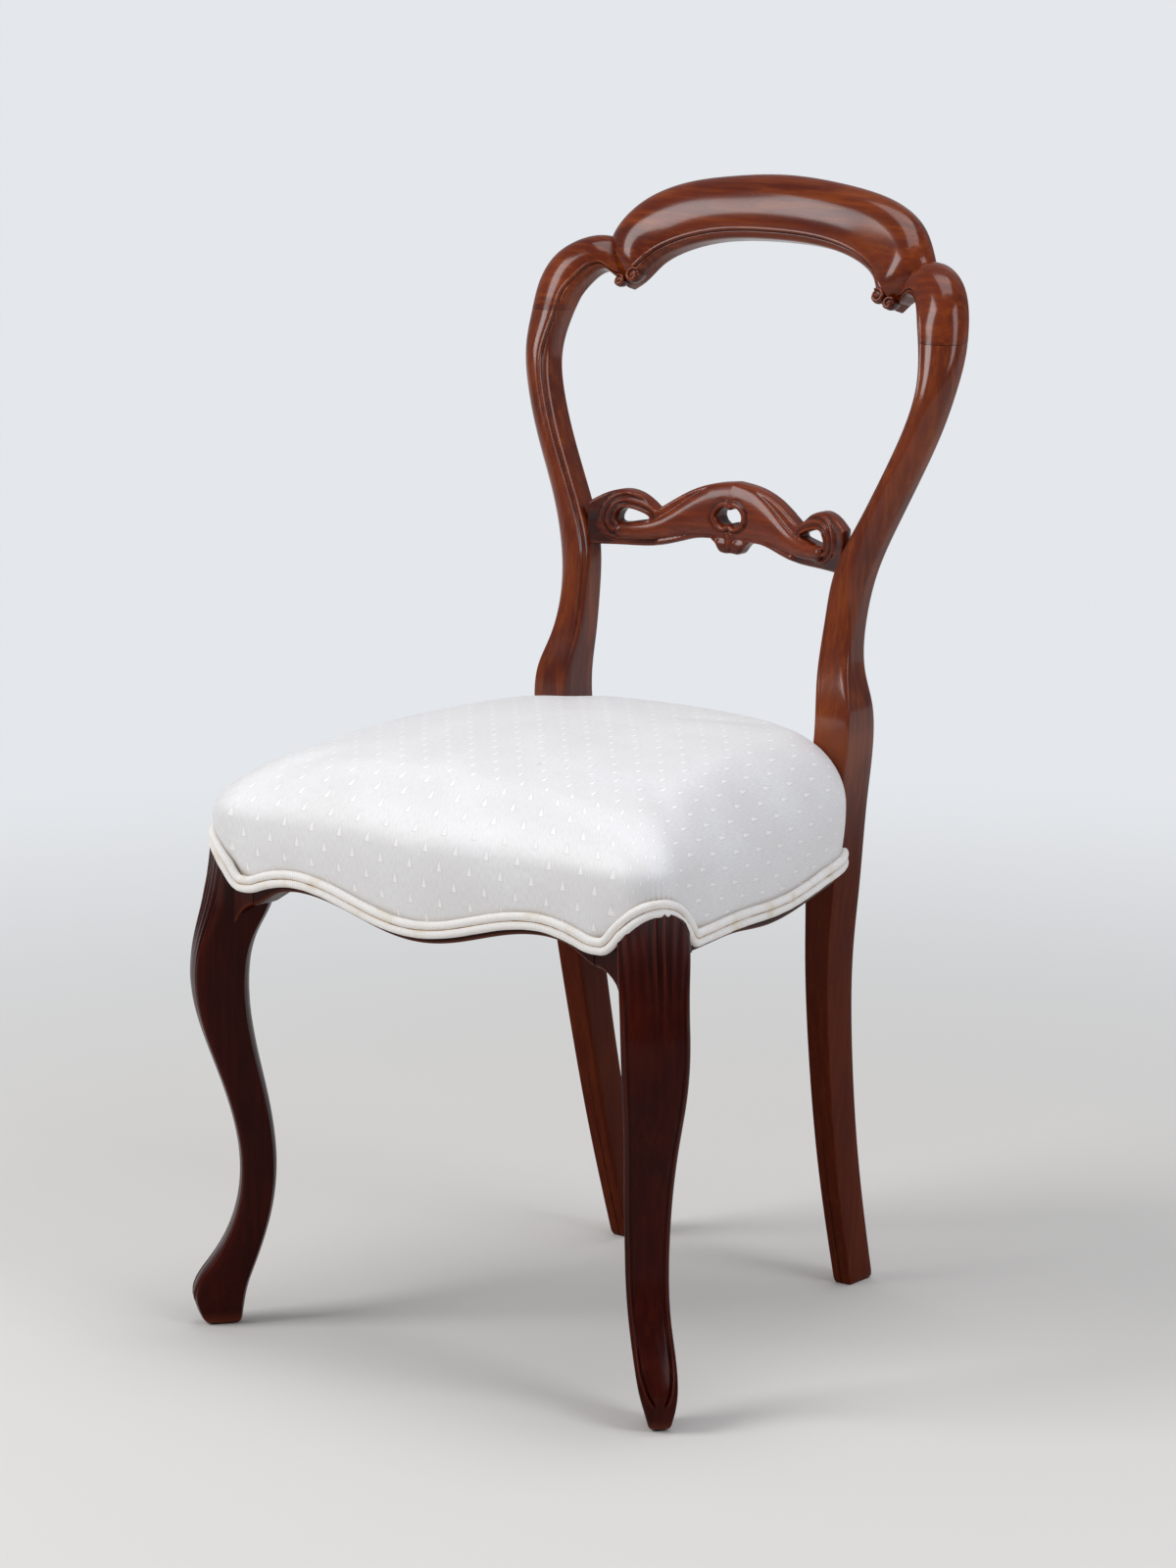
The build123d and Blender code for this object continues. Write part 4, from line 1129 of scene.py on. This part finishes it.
def front_wood(x):
    """Height of the front rail's lower edge."""
    x = np.abs(x)
    start = front_ear_x - ear_reach
    level = np.minimum(x, start)
    low = front_edge(level) - wood_lip - ease(0, 6.0, (level - 135) / 34)
    return low - hollow_drop((x - start) / ear_reach)


def side_wood(y):
    """Height of a side rail's lower edge."""
    start = side_ear_y + ear_reach
    level = np.maximum(y, start)
    drop = ease(0, 3.0, (level - side_peak_y) / (side_dip_y - side_peak_y))
    return side_edge(level) - wood_lip - drop - hollow_drop((start - y) / ear_reach)


def rail_between(axis, low, high):
    """The part of the outline on the right and the front that one rail or ear follows."""
    ring, ways = seat_ring(-cover_thick, 1500)
    value = ring[:, axis]
    keep = (value > low) & (value < high)
    keep &= (ring[:, 1] < -195) if axis == 0 else (ring[:, 0] > 100)
    order = np.argsort(value[keep])
    steps = np.unique(np.concatenate([np.arange(0, len(order), 4), [len(order) - 1]]))
    return ring[keep][order][steps], ways[keep][order][steps]


front_points, front_ways = rail_between(0, -front_post_x, front_post_x)
side_points, side_ways = rail_between(1, front_post_y, stile_front_y - 0.3)
front_rail = rail_along(front_points, front_ways, front_wood(front_points[:, 0]))
side_rail = rail_along(side_points, side_ways, side_wood(side_points[:, 1]))
pieces = [("rail_lipped_front", "seat_rail_front", front_rail, 1),
          ("rail_lipped_right", "seat_rail_right", side_rail, 1),
          ("rail_lipped_left", "seat_rail_left", side_rail, -1)]
for name, node, (points, faces, tone), flip in pieces:
    piece = make_piece(name, points * [flip, 1, 1], faces, wood_rail, tone)
    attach(piece, "root")
    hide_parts(node)

ear_points, ear_ways = rail_between(0, front_post_x, front_ear_x + 3)
front_ear = rail_along(ear_points, ear_ways, front_wood(ear_points[:, 0]))
ear_points, ear_ways = rail_between(1, side_ear_y - 3, front_post_y)
side_ear = rail_along(ear_points, ear_ways, side_wood(ear_points[:, 1]))
leg_parts = [cabriole_leg(), leg_post(), front_ear, side_ear]
for word, flip in (("right", 1), ("left", -1)):
    points, faces, tone = gather(leg_parts)
    leg = make_piece("cabriole_leg_" + word, points * [flip, 1, 1], faces, wood_dark, tone)
    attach(leg, "root")
    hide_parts("front_leg_" + word)


# ---------------------------------------------------------------- seat cushion

dome_top, dome_radius, dome_middle_y = 478.5, 1400.0, -8.0
bulge = 4.5
bulge_level = 414.0
roll_share = 0.22
cushion_low = 411.2
cover_tuck = 4.5
cushion_hub = np.array([0.0, -55.0])
swell_most = 6.0
side_rows, roll_rows, dome_rows = 19, 22, 30
# Place, radius and depth of each stain.
stains = [((57.0, -167.0), 2.6, 0.9), ((66.0, -171.0), 1.8, 0.45), ((-60.0, -90.0), 3.0, 0.12)]


def dome_height(plan):
    """Height of the seat's dome over a plan point."""
    x, y = plan[:, 0], plan[:, 1] - dome_middle_y
    return dome_top - (x ** 2 + y ** 2) / (2 * dome_radius)



def cushion_rings(count):
    """Rings of the cushion from its tucked edge over the roll to the hub, and their flat measure.

    That measure is the plan on the dome, and the cloth's length down the sides."""
    line, outward = seat_ring(0.0, count)
    start = trim_edge(line[:, 0], line[:, 1]) + cover_tuck
    rings = []
    for share in np.linspace(0, 1, side_rows):
        swell = bulge * np.sin(np.pi / 2 * share) ** 0.9
        plan = line + outward * swell
        rings.append(np.column_stack([plan, start + (bulge_level - start) * share]))
    for turn in np.linspace(0, np.pi / 2, roll_rows + 1)[1:]:
        inward = 1 - np.cos(turn)
        plan = line + outward * (bulge * (1 - inward))
        plan = plan + (cushion_hub - plan) * (roll_share * inward)
        top = dome_height(plan)
        level = bulge_level + (top - bulge_level) * np.sin(turn)
        rings.append(np.column_stack([plan, level]))
    rim = rings[-1][:, :2]
    for share in np.linspace(1, 0, dome_rows + 2)[1:-1]:
        plan = cushion_hub + (rim - cushion_hub) * share
        rings.append(np.column_stack([plan, dome_height(plan)]))
    flats = [ring[:, :2] for ring in rings]
    spread = np.zeros(count)
    for k in range(side_rows + roll_rows - 2, -1, -1):
        spread = spread + np.linalg.norm(rings[k] - rings[k + 1], axis=1)
        flats[k] = rim + outward * spread[:, None]
    return rings, flats


def clear_of_stiles(points):
    """Points moved out of the two stiles to the nearest face."""
    gap = 0.5
    over_x = np.abs(points[:, 0]) - (stile_inner_x - gap)
    over_y = points[:, 1] - (stile_front_y - gap)
    inside = (over_x > 0) & (over_y > 0)
    by_x = inside & (over_x < over_y)
    by_y = inside & ~by_x
    points[by_x, 0] = np.sign(points[by_x, 0]) * (stile_inner_x - gap)
    points[by_y, 1] = stile_front_y - gap
    return points


def seat_cushion():
    """The stuffed seat in its cover: points, faces and the cloth's flat measure."""
    count = 460
    rings, flats = cushion_rings(count)
    lift = 0.0
    moves = swelling(rings)
    rings = [ring + move for ring, move in zip(rings, moves)]
    lift = float(moves[-1][:, 2].mean())
    crown = (*cushion_hub, float(dome_height(cushion_hub[None])[0]) + lift)
    line, _ = seat_ring(-cover_thick + 0.05, count)
    levels = (rings[0][:, 2], np.full(count, cushion_low))
    tuck = [np.column_stack([line, level]) for level in levels]
    points = np.vstack([crown, *rings[::-1], *tuck, (*cushion_hub, cushion_low)])
    cloth = np.vstack([cushion_hub, *flats[::-1], flats[0], flats[0], cushion_hub])
    last = len(points) - 1
    faces = [(0, 1 + i, 1 + (i + 1) % count) for i in range(count)]
    faces += tube_faces(len(rings) + 2, count, first=1)
    faces += [(last, last - count + (i + 1) % count, last - count + i) for i in range(count)]
    return clear_of_stiles(points), faces, cloth * MM


def swelling(rings):
    """How far a stuffed cloth swells at each ring's points, from a cloth simulation.

    The simulated mesh has every second point of every second ring. Its rim is held, and the
    move found is smoothed and carried over to all the points."""
    picked = [ring[::2] for ring in rings[::2]]
    count = len(picked[0])
    crown = (*cushion_hub, float(dome_height(cushion_hub[None])[0]))
    place = np.vstack([*picked, crown, (*cushion_hub, cushion_low)])
    last, top, bottom = (len(picked) - 1) * count, len(place) - 2, len(place) - 1
    faces = tube_faces(len(picked), count)
    faces += [(top, last + i, last + (i + 1) % count) for i in range(count)]
    faces += [(bottom, (i + 1) % count, i) for i in range(count)]
    mesh = bpy.data.meshes.new("swell")
    mesh.from_pydata((place * MM).tolist(), [], faces)
    piece = bpy.data.objects.new("swell", mesh)
    bpy.context.collection.objects.link(piece)
    shape = bmesh.new()
    shape.from_mesh(mesh)
    bmesh.ops.recalc_face_normals(shape, faces=shape.faces)
    shape.to_mesh(mesh)
    shape.free()
    by_stile = (np.abs(place[:, 0]) > stile_inner_x - 6) & (place[:, 1] > stile_front_y - 6)
    held = np.flatnonzero(by_stile | (np.arange(len(place)) < 2 * count))
    pins = piece.vertex_groups.new(name="held")
    pins.add([int(i) for i in held] + [bottom], 1.0, "REPLACE")
    cloth = piece.modifiers.new("swell", "CLOTH")
    stuffed = {"quality": 4, "mass": 0.3, "tension_stiffness": 15, "compression_stiffness": 15,
               "bending_stiffness": 5, "use_pressure": True, "uniform_pressure_force": 4,
               "vertex_group_mass": "held"}
    for setting, value in stuffed.items():
        setattr(cloth.settings, setting, value)
    cloth.settings.effector_weights.gravity = 0
    cloth.collision_settings.use_collision = False
    for step in range(1, 21):
        bpy.context.scene.frame_set(step)
    scene_graph = bpy.context.evaluated_depsgraph_get()
    after = np.zeros(len(place) * 3, np.float32)
    piece.evaluated_get(scene_graph).data.vertices.foreach_get("co", after)
    bpy.context.scene.frame_set(1)
    piece.modifiers.remove(cloth)
    bpy.data.objects.remove(piece)
    bpy.data.meshes.remove(mesh)
    move = after.reshape(-1, 3) / MM - place
    move = move[:len(picked) * count].reshape(len(picked), count, 3)
    for _ in range(10):
        move = (np.roll(move, 1, axis=1) + 2 * move + np.roll(move, -1, axis=1)) / 4
        move[1:-1] = (move[:-2] + 2 * move[1:-1] + move[2:]) / 4
        move[:2] = 0
    size = np.linalg.norm(move, axis=2, keepdims=True)
    move = move * swell_most * np.tanh(size / swell_most) / np.maximum(size, 1e-9)
    at = np.arange(len(rings)) / 2
    columns = np.arange(2 * count) / 2
    wrapped = np.concatenate([move, move[:, :1]], axis=1)
    wide = np.stack([[np.interp(columns, np.arange(count + 1), row[:, i]) for i in range(3)]
                     for row in wrapped])
    return np.stack([[np.interp(at, np.arange(len(picked)), wide[:, i, j])
                      for j in range(2 * count)] for i in range(3)]).transpose(2, 1, 0)


def pulled_cloth(piece):
    """Pulls the cloth in at the trim's notches and marks its gathers, soiled edge and stains."""
    mesh = piece.data
    spots = np.zeros(len(mesh.vertices) * 3, np.float32)
    mesh.vertices.foreach_get("co", spots)
    spots = spots.reshape(-1, 3) / MM - [0, drawn_y, 0]
    ways = np.zeros(len(mesh.vertices) * 3, np.float32)
    mesh.vertices.foreach_get("normal", ways)
    ways = ways.reshape(-1, 3)
    x, y, z = spots.T
    above = z - trim_edge(x, y) - 2 * cord_spacing
    across = leg_across(x, y)
    on_arch = np.exp(-(across / 15.0) ** 4) * (y < 0)
    on_side = z < 440
    fade = np.exp(-np.clip(above, 0, None) / 9.0) * (above > -9) * on_side
    notch = bump(across, -arch_front, 7.0) + bump(across, arch_side, 7.0)
    notch = notch * (y < 60) * on_side
    pull = notch * np.exp(-np.clip(above, 0, None) / 16.0)
    front_wave = np.sin(x / 13.0) * np.sin(x / 29.0 + 1.0) * (np.abs(y + 243) < 14) * 0.35
    front_wave *= np.exp(-np.clip(above, 0, None) / 20.0) * on_side
    push = front_wave - 1.4 * pull
    spots = spots + ways * push[:, None]
    mesh.vertices.foreach_set("co", in_frame(spots).astype(np.float32).ravel())
    mesh.update()
    soil = 0.45 * np.exp(-np.clip(above - 1, 0, None) / 1.6) * on_side
    soil += 0.5 * notch * np.exp(-np.clip(above, 0, None) / 5.0)
    for (spot_x, spot_y), size, depth in stains:
        gap = np.hypot(x - spot_x, y - spot_y)
        soil += depth * bump(gap, 0, size) * (z > 430)
    layer = mesh.attributes.new("gathers", "FLOAT", "POINT")
    layer.data.foreach_set("value", (on_arch * fade).astype(np.float32))
    layer = mesh.attributes.get("tone") or mesh.attributes.new("tone", "FLOAT", "POINT")
    layer.data.foreach_set("value", -np.clip(soil, 0, 1).astype(np.float32))
    mesh.shade_smooth()


points, faces, cloth = seat_cushion()
cushion = make_piece("seat_upholstered", points, faces, satin, None, cloth)
pulled_cloth(cushion)
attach(cushion, "root")
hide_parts("seat_cover", "seat_pad")


# ---------------------------------------------------------------- piping


def geometry_tree(name, inputs):
    """An empty node tree with geometry in and out, and named inputs for its sizes."""
    tree = bpy.data.node_groups.new(name, "GeometryNodeTree")
    face = tree.interface
    face.new_socket("Geometry", in_out="INPUT", socket_type="NodeSocketGeometry")
    face.new_socket("Geometry", in_out="OUTPUT", socket_type="NodeSocketGeometry")
    for label, value in inputs.items():
        kind = "NodeSocketInt" if isinstance(value, int) else "NodeSocketFloat"
        face.new_socket(label, in_out="INPUT", socket_type=kind).default_value = value
    return tree, add_node(tree, "NodeGroupInput", {})


def grown(holder, tree, values, name):
    """The plain mesh that a node tree makes from a holder object, as a new piece."""
    modifier = holder.modifiers.new(tree.name, "NODES")
    modifier.node_group = tree
    for item in tree.interface.items_tree:
        if item.item_type == "SOCKET" and item.in_out == "INPUT" and item.name in values:
            modifier[item.identifier] = values[item.name]
    scene_graph = bpy.context.evaluated_depsgraph_get()
    mesh = bpy.data.meshes.new_from_object(holder.evaluated_get(scene_graph))
    mesh.name = name
    holder.modifiers.remove(modifier)
    bpy.data.objects.remove(holder)
    piece = bpy.data.objects.new(name, mesh)
    bpy.context.scene.collection.objects.link(piece)
    mesh.shade_smooth()
    return piece


def holder_line(name, lines):
    """A mesh of open lines for a node tree to follow."""
    mesh = bpy.data.meshes.new(name)
    points, edges = [], []
    for line in lines:
        start = len(points)
        points += in_frame(line).tolist()
        edges += [(start + i, start + i + 1) for i in range(len(line) - 1)]
    mesh.from_pydata(points, edges, [])
    holder = bpy.data.objects.new(name, mesh)
    bpy.context.scene.collection.objects.link(holder)
    return holder


def cord_tree(name, material):
    """A round cord along each line, with the slight unevenness of hand sewing."""
    tree, given = geometry_tree(name, {"Radius": 0.003, "Unevenness": 0.0002, "Seed": 3})
    line = add_node(tree, "GeometryNodeMeshToCurve", {"Mesh": given})
    upright = add_node(tree, "GeometryNodeSetCurveNormal", {"Curve": line}, mode="Z_UP")
    run = add_node(tree, "GeometryNodeSplineParameter", {})
    lengthwise = add_node(tree, "GeometryNodeStoreNamedAttribute",
                          {"Geometry": upright, "Name": "along", "Value": run.outputs["Length"]},
                          domain="POINT")
    circle = add_node(tree, "GeometryNodeCurvePrimitiveCircle",
                      {"Resolution": 16, "Radius": given.outputs["Radius"]})
    turn = add_node(tree, "GeometryNodeSplineParameter", {})
    folded = add_node(tree, "ShaderNodeMath", {0: turn.outputs["Factor"], 1: 0.5},
                      operation="PINGPONG")
    crosswise = add_node(tree, "GeometryNodeStoreNamedAttribute",
                         {"Geometry": circle, "Name": "around", "Value": folded},
                         domain="POINT")
    tube = add_node(tree, "GeometryNodeCurveToMesh",
                    {"Curve": lengthwise, "Profile Curve": crosswise, "Fill Caps": True})
    noise = add_node(tree, "ShaderNodeTexNoise",
                     {"Scale": 90.0, "W": given.outputs["Seed"], "Detail": 2.0},
                     noise_dimensions="4D")
    lift = add_node(tree, "ShaderNodeMath", {0: noise, 1: 0.5}, operation="SUBTRACT")
    size = add_node(tree, "ShaderNodeMath", {0: lift, 1: given.outputs["Unevenness"]},
                    operation="MULTIPLY")
    normal = add_node(tree, "GeometryNodeInputNormal", {})
    push = add_node(tree, "ShaderNodeVectorMath", {0: normal, "Scale": size}, operation="SCALE")
    moved = add_node(tree, "GeometryNodeSetPosition", {"Geometry": tube, "Offset": push})
    whole = add_node(tree, "GeometryNodeRealizeInstances", {"Geometry": moved})
    dressed = add_node(tree, "GeometryNodeSetMaterial", {"Geometry": whole, "Material": material})
    add_node(tree, "NodeGroupOutput", {0: dressed})
    return tree


def trim_path(lift, proud):
    """A line along the trim from stile to stile, lifted above the seam between the cords."""
    points, _ = seat_ring(proud, 900)
    points = points[points[:, 1] < stile_front_y - 4.0]
    order = np.argsort(np.arctan2(points[:, 0], 60 - points[:, 1]))
    points = points[order]
    edge = trim_edge(points[:, 0], points[:, 1]) + 2 * cord_radius
    window = 7
    padded = np.pad(edge, window // 2, mode="edge")
    height = np.convolve(padded, np.ones(window) / window, mode="valid")
    flat_step = np.gradient(points, axis=0)
    slope = np.arctan2(np.gradient(height), np.linalg.norm(flat_step, axis=1))
    along = unit(flat_step)
    plan = points - along * (lift * np.sin(slope))[:, None]
    path = np.column_stack([plan, height + lift * np.cos(slope)])
    across = leg_across(path[:, 0], path[:, 1])
    # Every second point is enough away from the arch over the leg.
    keep = (across > -arch_front - 12) & (across < arch_side + 12)
    keep |= np.arange(len(path)) % 2 == 0
    keep[0] = keep[-1] = True
    return path[keep]


def back_line(lift, proud):
    """The straight run of the trim between the stiles."""
    half = stile_inner_x - 0.4
    y = back_edge_y + proud
    z = side_end + 2 * cord_radius + lift
    return [(x, y, z) for x in np.linspace(-half, half, 60)]


cord_way = cord_gap + cord_radius
covered_cord = cord_tree("covered_cord", piping)
for name, node, lift in (("piping_cord_lower", "piping_lower", -cord_spacing / 2),
                         ("piping_cord_upper", "piping_upper", cord_spacing / 2)):
    lines = [trim_path(lift, cord_way), back_line(lift, cord_way)]
    holder = holder_line(name + "_line", lines)
    values = {"Radius": (cord_radius + 0.08) * MM, "Unevenness": 0.7 * MM, "Seed": 3}
    piece = grown(holder, covered_cord, values, name)
    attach(piece, "root")
    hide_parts(node)
seam = grown(holder_line("seam_line", [trim_path(0.0, cord_way - 0.4),
                                       back_line(0.0, cord_way - 0.4)]),
             cord_tree("glue_line", glue),
             {"Radius": 1.7 * MM, "Unevenness": 1.0 * MM, "Seed": 8}, "piping_seam_glue")
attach(seam, "root")


# ---------------------------------------------------------------- under the seat

web_width, web_thick, hessian_thick = 50.0, 1.1, 0.9
web_step_x, web_step_y, web_front_y = 74.0, 78.0, -178.0


def strap(length_line, wide_way, over):
    """One webbing strap along a line, passing over and under the straps it crosses."""
    rings = []
    for spot, wave in zip(length_line, over):
        level = rail_top + 1.45 + 0.62 * wave
        half = web_width / 2
        low, high = level - web_thick / 2, level + web_thick / 2
        edge = [(-half, low), (-half * 0.5, low), (0, low), (half * 0.5, low), (half, low),
                (half, high), (half * 0.5, high), (0, high), (-half * 0.5, high), (-half, high)]
        rings.append([(*(spot + wide_way * a), z) for a, z in edge])
    points, faces = solid_tube(rings)
    return points, faces, 0.0


inside_line, _ = seat_ring(-cover_thick - 4, 900)
rows_y = [web_front_y + row * web_step_y for row in range(4)]
columns_x = [column * web_step_x for column in (-1.5, -0.5, 0.5, 1.5)]
long_parts, cross_parts = [], []
for k, x in enumerate(columns_x):
    near = np.abs(np.abs(inside_line[:, 0]) - abs(x) - web_width / 2) < 3
    front_y = inside_line[near & (inside_line[:, 1] < 0)][:, 1].max() + 1
    back_y = inside_line[near & (inside_line[:, 1] > 0)][:, 1].min() - 1
    back_y = min(back_y, stile_front_y - 1) if abs(x) + web_width / 2 > stile_inner_x else back_y
    spots = np.array([(x, y) for y in np.linspace(front_y, back_y, 90)])
    wave = np.cos(np.pi * (spots[:, 1] - rows_y[0]) / web_step_y) * (1 if k % 2 else -1)
    long_parts.append(strap(spots, np.array([1.0, 0.0]), wave))
for k, y in enumerate(rows_y):
    near = np.abs(inside_line[:, 1] - y) < web_width / 2
    reach = inside_line[near & (inside_line[:, 0] > 0)][:, 0].min() - 1
    spots = np.array([(x, y) for x in np.linspace(-reach, reach, 110)])
    wave = np.cos(np.pi * (spots[:, 0] - columns_x[0]) / web_step_x) * (1 if k % 2 else -1)
    cross_parts.append(strap(spots, np.array([0.0, 1.0]), wave))
for name, parts, node in (("webbing_long_straps", long_parts, "webbing_lengthwise"),
                          ("webbing_cross_straps", cross_parts, "webbing_crosswise")):
    points, faces, tone = gather(parts)
    piece = make_piece(name, points, faces, jute, tone)
    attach(piece, "root")
    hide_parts(node)


def hessian_cloth():
    """The hessian over the webbing, cut round the stiles, with a slack surface."""
    ring_points, _ = seat_ring(-cover_thick - 4, 240)
    ring_points = clear_of_stiles(np.column_stack([ring_points, ring_points[:, 0] * 0]))[:, :2]
    steps = np.linalg.norm(np.roll(ring_points, -1, axis=0) - ring_points, axis=1)
    ring_points = ring_points[steps > 0.3]
    flat, faces, sizes = filled(ring_points, [], 8.0)
    low = rail_top + 2.8 + 0.12 * np.sin(flat[:, 0] / 9) * np.sin(flat[:, 1] / 11)
    points, all_faces = slab(flat, faces, sizes[0], low, low + hessian_thick)
    area = 0.0
    for a, b, c in faces:
        ab, ac = flat[b] - flat[a], flat[c] - flat[a]
        area += abs(ab[0] * ac[1] - ab[1] * ac[0]) / 2
    size = flat.max(0) - flat.min(0)
    return points, all_faces, size * MM, area * MM * MM


points, faces, size, area = hessian_cloth()
hessian = make_piece("hessian_stretched", points, faces, sacking)
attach(hessian, "root")
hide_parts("hessian")

plain_nodes = {"seat_rail_back": wood_rail, "corner_block_screws": steel,
               "crest_dowels": beech, "rail_dowels": beech,
               "corner_block_front_left": beech, "corner_block_front_right": beech,
               "corner_block_back_left": beech, "corner_block_back_right": beech}
for name, material in plain_nodes.items():
    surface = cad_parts[name].data.materials
    surface.clear()
    surface.append(material)


# ---------------------------------------------------------------- camera, floor and light


def floor_surface():
    """Matt pale paper. Away from the chair it is as bright as written, for the camera and in
    reflections, and from below it doesn't hide what stands on it."""
    material, tree, shader, place = new_material("floor_paper_matt")
    shader.inputs["Roughness"].default_value = 0.9
    shader.inputs["Specular IOR Level"].default_value = 0.1
    shader.inputs["Base Color"].default_value = colour("DAD7D3")
    glow = add_node(tree, "ShaderNodeEmission", {"Color": colour("E4E7EB")})
    route = add_node(tree, "ShaderNodeLightPath", {})
    seen = route.outputs["Is Camera Ray"]
    for ray in ("Is Glossy Ray", "Is Transmission Ray"):
        seen = add_node(tree, "ShaderNodeMath", {0: seen, 1: route.outputs[ray]},
                        operation="MAXIMUM")
    away = add_node(tree, "ShaderNodeVectorMath", {0: place}, operation="LENGTH")
    far = add_node(tree, "ShaderNodeMapRange",
                   {"Value": away.outputs["Value"], "From Min": 0.45, "From Max": 2.2},
                   interpolation_type="SMOOTHSTEP")
    share = add_node(tree, "ShaderNodeMath", {0: seen, 1: far}, operation="MULTIPLY")
    lit = add_node(tree, "ShaderNodeMixShader", {0: share, 1: shader, 2: glow})
    clear = add_node(tree, "ShaderNodeBsdfTransparent", {})
    side = add_node(tree, "ShaderNodeNewGeometry", {}).outputs["Backfacing"]
    sided = add_node(tree, "ShaderNodeMixShader", {0: side, 1: lit, 2: clear})
    tree.links.new(sided.outputs[0], tree.nodes["Material Output"].inputs["Surface"])
    return material


def area_light(name, spot, target, size, power, tint):
    """One square lamp that faces a target."""
    data = bpy.data.lights.new(name, "AREA")
    data.shape = "RECTANGLE"
    data.size, data.size_y = size
    data.energy = power
    data.color = colour(tint)[:3]
    lamp = bpy.data.objects.new(name, data)
    lamp.location = spot
    lamp.rotation_euler = (Vector(target) - Vector(spot)).to_track_quat("-Z", "Y").to_euler()
    lamp.visible_camera = False
    bpy.context.scene.collection.objects.link(lamp)
    return lamp


# The floor lies just below zero, so that it shares no plane with the feet.
floor_half, floor_level = 40, -0.0003
floor_mesh = bpy.data.meshes.new("floor")
floor_mesh.from_pydata([(x * floor_half, y * floor_half, floor_level)
                        for x, y in ((-1, -1), (1, -1), (1, 1), (-1, 1))], [], [(0, 1, 2, 3)])
floor_mesh.materials.append(floor_surface())
floor = bpy.data.objects.new("floor", floor_mesh)
bpy.context.scene.collection.objects.link(floor)

world = bpy.data.worlds.new("studio")
bpy.context.scene.world = world
world.use_nodes = True
sky = world.node_tree.nodes["Background"]
sky.inputs["Color"].default_value = colour("E4E8EE")
sky.inputs["Strength"].default_value = 0.42

area_light("window_left", (-1.4, -2.0, 2.2), (0, 0, 0.5), (1.2, 1.6), 50, "FFFFFF")
area_light("window_right", (2.3, -0.2, 1.9), (0, 0, 0.5), (0.9, 1.5), 22, "F4F7FF")
area_light("ceiling", (0.1, 0.1, 2.9), (0, 0, 0.4), (1.5, 1.5), 25, "FFFFFF")

lens = bpy.data.cameras.new("camera")
lens.sensor_width = 36
lens.lens = 128.25
camera = bpy.data.objects.new("camera", lens)
camera.location = (2.6004, -3.4094 + drawn_y * MM, 1.3068)
camera.rotation_euler = (math.radians(90 - 11.635), 0, math.radians(37.6))
bpy.context.scene.collection.objects.link(camera)
bpy.context.scene.camera = camera
bpy.context.scene.view_settings.view_transform = "Standard"
